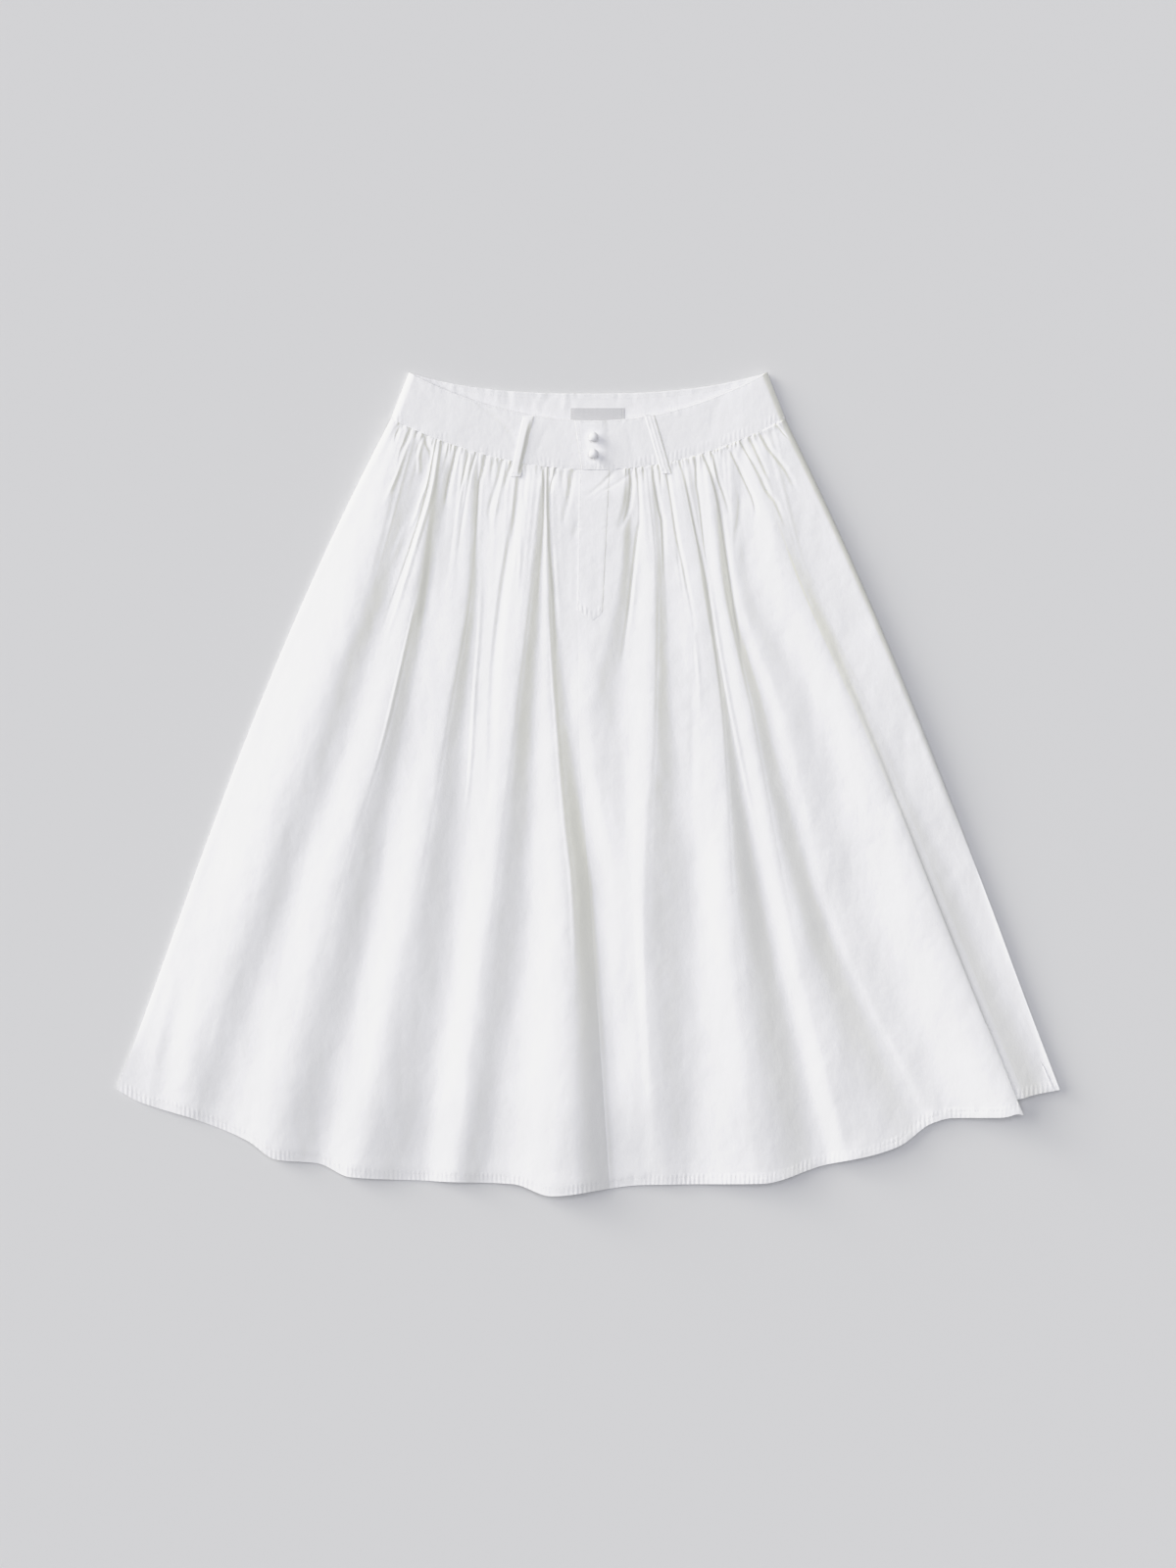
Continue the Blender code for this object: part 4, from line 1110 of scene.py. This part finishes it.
def placket_height(x, drop, start=None):
    """The placket's upper surface: the panel's, raised, with its edges sewn down."""
    left = x - placket_edge(PLACKET_LEFT)(drop)
    right = placket_edge(PLACKET_RIGHT)(drop) - x
    foot = (placket_foot(x) - drop) * math.cos(math.atan(PLACKET_SLANT))
    z = front_height(x, drop) + PLACKET_RAISED
    for inside, sunk in zip((left, right, foot), PLACKET_EDGES_SUNK):
        z = z - sunk * (1 - ease(inside / PLACKET_EDGE)) - groove(inside, PLACKET_STITCH_ROW)
        z = z + uneven(x, drop, PLACKET_PUCKERS) * rib(inside, PUCKER_REACH)
    return z


placket_lines = [placket_edge(PLACKET_LEFT, inset) for inset in PLACKET_INSETS]
placket_lines += [placket_edge(PLACKET_RIGHT, -inset) for inset in PLACKET_INSETS[::-1]]
placket_shares = np.concatenate([np.linspace(0, 0.97, 110)[:-1], np.linspace(0.97, 1, 16)])


def placket_top(x):
    """The placket's top edge, just under the band."""
    return seam_drop(x) - PLACKET_SHORT


placket_edges = (placket_top, placket_foot)
grid, cloth = panel_grid(placket_lines, PLACKET_COLUMNS, placket_shares, *placket_edges, placket_height)
placket = sew_cloth("fly_placket_cloth", grid, cloth, PLACKET_CUT_WIDTH, PLACKET_WALL, cotton)
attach(placket, "root")
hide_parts("fly_placket")

# ---------------------------------------- The belt loops
# Four narrow strips of folded poplin, stitched along their length and tacked across both ends. The
# front two stand a little off the band, and the back two are pressed flat under it.

Loop = namedtuple("Loop", "node top_x top_drop foot_x foot_drop width stand tilt roll ridges")
LOOPS = (
    Loop("loop_front_left", -57.5, 42.6, -70.0, 101.0, 10.0, 2.4, 0.5, 2.6, 2),
    Loop("loop_front_right", 59.5, 41.6, 76.0, 98.0, 10.5, 0.7, 1.0, 0.2, 3),
    Loop("loop_back_left", -95.0, 17.0, -99.0, 66.0, 10.0, 0.0, 0.0, 0.0, 2),
    Loop("loop_back_right", 95.0, 17.0, 99.0, 66.0, 10.0, 0.0, 0.0, 0.0, 2),
)
LOOP_HALF = (0.15, 0.3, 0.45, 0.6, 0.7, 0.8, 0.9, 0.97, 1)
LOOP_ACROSS = [-place for place in LOOP_HALF[::-1]] + [0, *LOOP_HALF]
LOOP_ROWS = 56
LOOP_WALL = 0.7
LOOP_LIFT = 0.75
LOOP_FOOT_CLEAR = 3.0
OVER_GATHERS = 0.4
LOOP_STITCH = 0.68
LOOP_TACKS = (0.025, 0.965)
LOOP_EDGE_ROLL = 0.45
LOOP_CROWN = 0.12
LOOP_GROOVE = 0.12
THREE_RIDGES = 0.14
TACK_DEPTH = 0.25


def loop_middle(loop, share):
    """The middle of a loop, as x and drop, from its top (0) to its foot (1)."""
    x = loop.top_x + (loop.foot_x - loop.top_x) * share
    return x, loop.top_drop + (loop.foot_drop - loop.top_drop) * share


def under_loop(loop, share):
    """The highest surface under a loop's width: the band, or the gathers below its seam."""
    middle, drop = loop_middle(loop, share)
    across = [middle + side * loop.width for side in (-0.5, -0.25, 0.0, 0.25, 0.5)]
    folds = [front_folds(x, np.maximum(drop, seam_drop(x) + LOOP_FOOT_CLEAR)) for x in across]
    over_folds = drop + 2 * LOOP_FOOT_CLEAR > seam_drop(middle)
    return np.maximum(FRONT_BAND_Z, np.where(over_folds, np.max(folds, axis=0) + OVER_GATHERS, 0.0))


def loop_height(loop, share, across):
    """A loop's upper surface: across runs from -1 at its left edge to 1 at its right."""
    if loop.stand:
        knots = np.linspace(0, 1, 15)
        base = along(share, knots, under_loop(loop, knots))
    else:
        base = np.zeros_like(share)
    standing = loop.stand * np.sin(math.pi * share) ** 0.7 * (1 - loop.tilt * (1 - across) / 2)
    rolled = loop.roll * ease((across - 0.1) / 0.8) * ease(share / 0.35) * ease((1 - share) / 0.15)
    z = base + LOOP_LIFT * (1 - 0.5 * loop.tilt) + standing - rolled
    z = z - LOOP_EDGE_ROLL * ease((np.abs(across) - 0.82) / 0.18) + LOOP_CROWN * (1 - across**2)
    z = z - LOOP_GROOVE * rib(np.abs(across) - LOOP_STITCH, 0.11)
    if loop.ridges == 3:
        z = z + THREE_RIDGES * np.cos(across * 3 * math.pi)
    return z - TACK_DEPTH * sum(rib(share - tack, 0.018) for tack in LOOP_TACKS)


def loop_place(loop, share, across):
    """World places on a loop's upper surface."""
    middle, drop = loop_middle(loop, share)
    z = loop_height(loop, share, across)
    return points(middle + across * loop.width / 2, drop, z)


for loop in LOOPS:
    across, shares = np.meshgrid(np.array(LOOP_ACROSS, float), np.linspace(0, 1, LOOP_ROWS))
    long = math.hypot(loop.foot_x - loop.top_x, loop.foot_drop - loop.top_drop)
    grid = loop_place(loop, shares.reshape(-1), across.reshape(-1)).reshape(shares.shape + (3,))
    cloth = np.stack([across * loop.width / 2 * MM, (1 - shares) * long * MM], axis=-1)
    strip = sew_cloth(loop.node + "_cloth", grid, cloth, 1.0, LOOP_WALL, cotton)
    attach(strip, "root")
    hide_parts(loop.node)

# ---------------------------------------- The buttons
# Two small cloth-covered balls, each on a short shank that is sewn through the lapped band.

BUTTON_RADIUS = 4.7
BALL_FLATTEN = 0.78
SHANK_RADIUS = 1.7
SHANK_LENGTH = 1.6
BUTTON_SEGMENTS = 32
BUTTON_RINGS = 20
BALL_EDGE_ANGLE = 50
SHANK_SUNK = 0.3


def edit_faces(piece, wanted):
    """Opens a piece for editing with only the faces that are wanted selected."""
    bpy.ops.object.mode_set(mode="EDIT")
    bpy.ops.mesh.select_mode(type="FACE")
    bpy.ops.mesh.select_all(action="DESELECT")
    bpy.ops.object.mode_set(mode="OBJECT")
    for face in piece.data.polygons:
        face.select = wanted(face)
    bpy.ops.object.mode_set(mode="EDIT")


def under_middle(face):
    """Whether a face of the ball is where the shank grows."""
    return math.hypot(face.center.x, face.center.y) < SHANK_RADIUS * MM and face.center.z < 0


bpy.ops.object.select_all(action="DESELECT")
bpy.ops.mesh.primitive_uv_sphere_add(
    segments=BUTTON_SEGMENTS, ring_count=BUTTON_RINGS, radius=BUTTON_RADIUS * MM, location=(0, 0, 0)
)
ball = bpy.context.object
bpy.ops.object.mode_set(mode="EDIT")
bpy.ops.mesh.select_all(action="SELECT")
bpy.ops.transform.resize(value=(1, 1, BALL_FLATTEN))
edit_faces(ball, under_middle)
bpy.ops.mesh.extrude_region_move(TRANSFORM_OT_translate={"value": (0, 0, -SHANK_LENGTH * MM)})
bpy.ops.transform.resize(value=(1, 1, 0))
bpy.ops.mesh.select_all(action="DESELECT")
bpy.ops.object.mode_set(mode="OBJECT")
bpy.ops.object.shade_smooth_by_angle(angle=math.radians(BALL_EDGE_ANGLE))


COVERED_BALL = {"Roughness": 0.5, "Specular IOR Level": 0.4, "Sheen Weight": 0.1}


def button_cover(name, colour):
    """Cotton stretched over a ball: a finer, smoother and slightly glossier face than the skirt's."""
    made, tree, shader = new_material(name, COVERED_BALL)
    place = add_node(tree, "TexCoord").outputs["Object"]
    mottle = add_node(tree, "TexNoise", vector=place, scale=500.0, detail=3.0, roughness=0.6)
    tree.links.new(mottled(tree, mottle, colour, 0.95, 0.35, 0.65), shader.inputs["Base Color"])
    threads = add_node(tree, "TexWave", vector=place, scale=900.0, distortion=2.0)
    bump = add_node(tree, "Bump", strength=0.15, distance=0.0001, height=threads.outputs["Fac"])
    tree.links.new(bump.outputs["Normal"], shader.inputs["Normal"])
    return made


ball.data.materials.clear()
ball.data.materials.append(button_cover("button_cotton", COTTON_WHITE))
for node in ("button_upper", "button_lower"):
    box_low, box_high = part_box(node)
    middle = (box_low + box_high) / 2
    on_band = FRONT_BAND_Z + OVERLAP_RISE
    rise = on_band + SHANK_LENGTH - SHANK_SUNK + BUTTON_RADIUS * BALL_FLATTEN
    button = ball if node == "button_lower" else ball.copy()
    if node == "button_upper":
        button.data = ball.data.copy()
        scene.collection.objects.link(button)
    button.name = node + "_ball"
    button.data.transform(Matrix.Translation((middle.x, middle.y, rise * MM)))
    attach(button, "root")
    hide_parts(node)

# ---------------------------------------- The label
# A plain woven satin label with nothing on it, sewn by its two ends inside the back band.

LABEL_X = (-17.0, 35.5)
LABEL_DROPS = (34.4, 58.4)
LABEL_RAISED = 0.5
LABEL_LIFT, LABEL_LIFT_REACH = 0.25, 12.0
LABEL_STITCH_ROW, LABEL_GROOVE = 1.6, 0.2
LABEL_END_SUNK, LABEL_END_REACH = 0.3, 0.6
LABEL_WALL = 0.3
LABEL_GREY = (0.635, 0.635, 0.65)


def label_height(x, drop):
    """The label's upper surface, which follows the band's puckers and lifts along its middle."""
    share = (drop - back_top_drop(x)) / BAND_HEIGHT
    inside = np.minimum(x - LABEL_X[0], LABEL_X[1] - x)
    z = back_band_height(x, drop, share) + LABEL_RAISED
    z = z + LABEL_LIFT * ease(inside / LABEL_LIFT_REACH)
    z = z - LABEL_GROOVE * rib(inside - LABEL_STITCH_ROW, LABEL_END_REACH)
    return z - LABEL_END_SUNK * (1 - ease(inside / LABEL_END_REACH))


SATIN = {"Roughness": 0.42, "Specular IOR Level": 0.35, "Sheen Weight": 0.12}


def satin_label(name, colour):
    """Woven satin: fine long floats across the label, with a soft sheen along them."""
    made, tree, shader = new_material(name, SATIN)
    cut = add_node(tree, "UVMap", uv_map="cloth").outputs["UV"]
    floats = add_node(tree, "Mapping", vector=cut, scale=(0.15, 1.0, 1.0)).outputs["Vector"]
    grain = add_node(tree, "TexNoise", vector=floats, scale=2600.0, detail=2.0, roughness=0.5)
    tree.links.new(mottled(tree, grain, colour, 0.93, 0.35, 0.65), shader.inputs["Base Color"])
    bump = add_node(tree, "Bump", strength=0.3, distance=0.00006, height=grain.outputs["Fac"])
    tree.links.new(bump.outputs["Normal"], shader.inputs["Normal"])
    return made


ends = np.array((0.0, 0.25, 0.6, 1.0, 1.6, 2.2, 3.0))
label_middle = np.linspace(LABEL_X[0] + 4, LABEL_X[1] - 4, 34)
label_columns = np.concatenate([LABEL_X[0] + ends, label_middle, LABEL_X[1] - ends[::-1]])
label_x, label_drop = np.meshgrid(label_columns, np.linspace(*LABEL_DROPS, 20))
label_z = label_height(label_x.reshape(-1), label_drop.reshape(-1)).reshape(label_x.shape)
cloth = np.stack([label_x * MM, -label_drop * MM], axis=-1)
satin = satin_label("label_satin", LABEL_GREY)
label = sew_cloth("label_satin", points(label_x, label_drop, label_z), cloth, 1.0, LABEL_WALL, satin)
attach(label, "root")
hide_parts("label")

# ---------------------------------------- The stitching
# White sewing thread: straight lock stitches along the hem, the band, the placket, the loops and the
# label, and close zigzag tacks across the ends of the loops.

THREAD_RADIUS = 0.17
THREAD_RAISED = -0.05
STITCH_LENGTH = 1.9
STITCH_PITCH = 2.6
STITCH_END = 0.12
TACK_PITCH = 0.75
TACK_HALF = 0.92
TACK_LIFT = np.array([0, 0, 0.12 * MM])
HEM_THREAD_RAISED = 0.08
ROW_END = 5.0
LABEL_ROW_END = 0.8

# Where each kind of row starts and ends, and how many places it is measured at.
BAND_PLACES = 400
LAP_SHARES = (0.05, 0.95, 60)
HEM_X = (-450, 450, 2400)
PLACKET_SIDE_DROPS = (96, 233, 300)
PLACKET_FOOT_X = (-8.6, 12.4, 60)
LOOP_SHARES = (0.04, 0.95, 120)

bpy.ops.object.select_all(action="DESELECT")
bpy.ops.mesh.primitive_cylinder_add(
    vertices=6, radius=THREAD_RADIUS * MM, depth=STITCH_LENGTH * MM, rotation=(0, math.pi / 2, 0)
)
stitch = bpy.context.object
bpy.ops.object.transform_apply(location=False, rotation=True, scale=False)
edit_faces(stitch, lambda face: abs(face.normal.x) > 0.9)
bpy.ops.mesh.bevel(offset=STITCH_END * MM, segments=1, affect="EDGES")
bpy.ops.object.mode_set(mode="OBJECT")
stitch_points = np.array([vert.co for vert in stitch.data.vertices])
stitch_faces = [tuple(face.vertices) for face in stitch.data.polygons]
bpy.data.objects.remove(stitch)


def sewing_thread(name, colour):
    """Spun white thread: a fine twist along it and a dull shine."""
    made, tree, shader = new_material(name, {"Roughness": 0.7, "Sheen Weight": 0.15})
    place = add_node(tree, "TexCoord").outputs["Object"]
    twist = add_node(tree, "TexNoise", vector=place, scale=1800.0, detail=2.0, roughness=0.5)
    tree.links.new(mottled(tree, twist, colour, 0.9), shader.inputs["Base Color"])
    bump = add_node(tree, "Bump", strength=0.4, distance=0.0001, height=twist.outputs["Fac"])
    tree.links.new(bump.outputs["Normal"], shader.inputs["Normal"])
    return made


def even_steps(route, pitch):
    """Middles and directions of the stitches along a route of world places."""
    reach = np.concatenate([[0.0], np.cumsum(np.linalg.norm(np.diff(route, axis=0), axis=1))])
    steps = np.arange(pitch * MM / 2, reach[-1], pitch * MM)
    place = lambda at: np.stack([np.interp(at, reach, route[:, k]) for k in range(3)], axis=-1)
    ahead, behind = place(steps + 0.5 * MM), place(steps - 0.5 * MM)
    return place(steps), ahead - behind


def zigzag(first, last, reach, pitch):
    """Close parallel stitches from one place to another, all turned along reach."""
    count = int(np.linalg.norm(last - first) / (pitch * MM))
    middles = first + (last - first) * np.linspace(0, 1, count)[:, None]
    return middles, np.tile(reach, (count, 1))


def sew_stitches(name, runs, finish):
    """One piece with a copy of the stitch at every middle, turned to its direction."""
    middles = np.concatenate([run[0] for run in runs])
    ahead = np.concatenate([run[1] for run in runs])
    ahead = ahead / np.linalg.norm(ahead, axis=1, keepdims=True)
    beside = np.cross([0.0, 0.0, 1.0], ahead)
    beside = beside / np.linalg.norm(beside, axis=1, keepdims=True)
    frames = np.stack([ahead, beside, np.cross(ahead, beside)], axis=1)
    verts = np.einsum("pk,nkj->npj", stitch_points, frames) + middles[:, None]
    starts = range(0, len(middles) * len(stitch_points), len(stitch_points))
    faces = [tuple(start + k for k in face) for start in starts for face in stitch_faces]
    mesh = bpy.data.meshes.new(name)
    mesh.from_pydata(verts.reshape(-1, 3).tolist(), [], faces)
    mesh.update()
    mesh.shade_smooth()
    mesh.materials.append(finish)
    piece = bpy.data.objects.new(name, mesh)
    scene.collection.objects.link(piece)
    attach(piece, "root")
    return piece


def band_route(x, share, top, foot, height):
    """World places along a row of the band, or down its lapped end."""
    drop = band_drop(x, share, top, foot)
    return points(x, drop, height(x, drop, share) + THREAD_RAISED)


def row_of(first, last, share, *edges_and_height):
    """World places along a whole row of a band."""
    return band_route(np.linspace(first, last, BAND_PLACES), share, *edges_and_height)


LEFT_FRONT = (front_top_drop, seam_drop, left_band_height)
RIGHT_FRONT = (front_top_drop, seam_drop, right_band_height)
INSIDE_BACK = (back_top_drop, back_seam_drop, back_band_height)
thread = sewing_thread("sewing_thread", (0.88, 0.88, 0.885))
top_row, foot_row = BAND_STITCH_ROW / BAND_HEIGHT, 1 - BAND_STITCH_ROW / BAND_HEIGHT
runs = []
for share in (top_row, foot_row):
    reach = band_side_x(share) - ROW_END
    runs.append(row_of(-reach, overlap_x(share) - 1.0, share, *LEFT_FRONT))
    runs.append(row_of(overlap_x(share) + LAP_STITCH_ROWS[0], reach, share, *RIGHT_FRONT))
for share in (top_row, BACK_STITCH_ROW / BAND_HEIGHT):
    reach = band_side_x(share) - ROW_END
    runs.append(row_of(-reach, reach, share, *INSIDE_BACK))
down_lap = np.linspace(*LAP_SHARES)
runs += [band_route(overlap_x(down_lap) + row, down_lap, *RIGHT_FRONT) for row in LAP_STITCH_ROWS]
sew_stitches("band_stitches", [even_steps(run, STITCH_PITCH) for run in runs], thread)

hem_x = np.linspace(*HEM_X)
stitched_drop = hem_drop(hem_x) - HEM_STITCH_ROW
hem_z = front_height(hem_x, stitched_drop) + HEM_THREAD_RAISED
leaned = hem_x + np.where(hem_x > SEAM_LINE[-1], crease_lean(hem_x, stitched_drop), 0.0)
hem_run = even_steps(points(leaned, stitched_drop, hem_z), STITCH_PITCH)
sew_stitches("hem_stitches", [hem_run], thread)

runs = []
sides_drop = np.linspace(*PLACKET_SIDE_DROPS)
for ends, inset in ((PLACKET_LEFT, PLACKET_STITCH_ROW), (PLACKET_RIGHT, -PLACKET_STITCH_ROW)):
    x = placket_edge(ends, inset)(sides_drop)
    runs.append(points(x, sides_drop, placket_height(x, sides_drop) + THREAD_RAISED))
foot_x = np.linspace(*PLACKET_FOOT_X)
foot_drop = placket_foot(foot_x) - PLACKET_STITCH_ROW / math.cos(math.atan(PLACKET_SLANT))
runs.append(points(foot_x, foot_drop, placket_height(foot_x, foot_drop) + THREAD_RAISED))
sew_stitches("placket_stitches", [even_steps(run, STITCH_PITCH) for run in runs], thread)


def loop_point(loop, share, across):
    """One world place on a loop."""
    return loop_place(loop, np.array([share]), np.array([across]))[0]


runs = []
for loop in LOOPS[:2]:
    along_loop = np.linspace(*LOOP_SHARES)
    for side in (-LOOP_STITCH, LOOP_STITCH):
        place = loop_place(loop, along_loop, np.full_like(along_loop, side))
        runs.append(even_steps(place + np.array([0, 0, THREAD_RAISED * MM]), STITCH_PITCH))
    down = (loop_point(loop, 1.0, 0.0) - loop_point(loop, 0.0, 0.0)) * np.array([1, 1, 0])
    for share in LOOP_TACKS:
        first, last = (loop_point(loop, share, side) + TACK_LIFT for side in (-TACK_HALF, TACK_HALF))
        runs.append(zigzag(first, last, down, TACK_PITCH))
sew_stitches("loop_stitches", runs, thread)

runs = []
for x in (LABEL_X[0] + LABEL_STITCH_ROW, LABEL_X[1] - LABEL_STITCH_ROW):
    down = np.linspace(LABEL_DROPS[0] + LABEL_ROW_END, LABEL_DROPS[1] - LABEL_ROW_END, 40)
    side = np.full_like(down, x)
    runs.append(even_steps(points(side, down, label_height(side, down) + THREAD_RAISED), STITCH_PITCH))
sew_stitches("label_stitches", runs, thread)
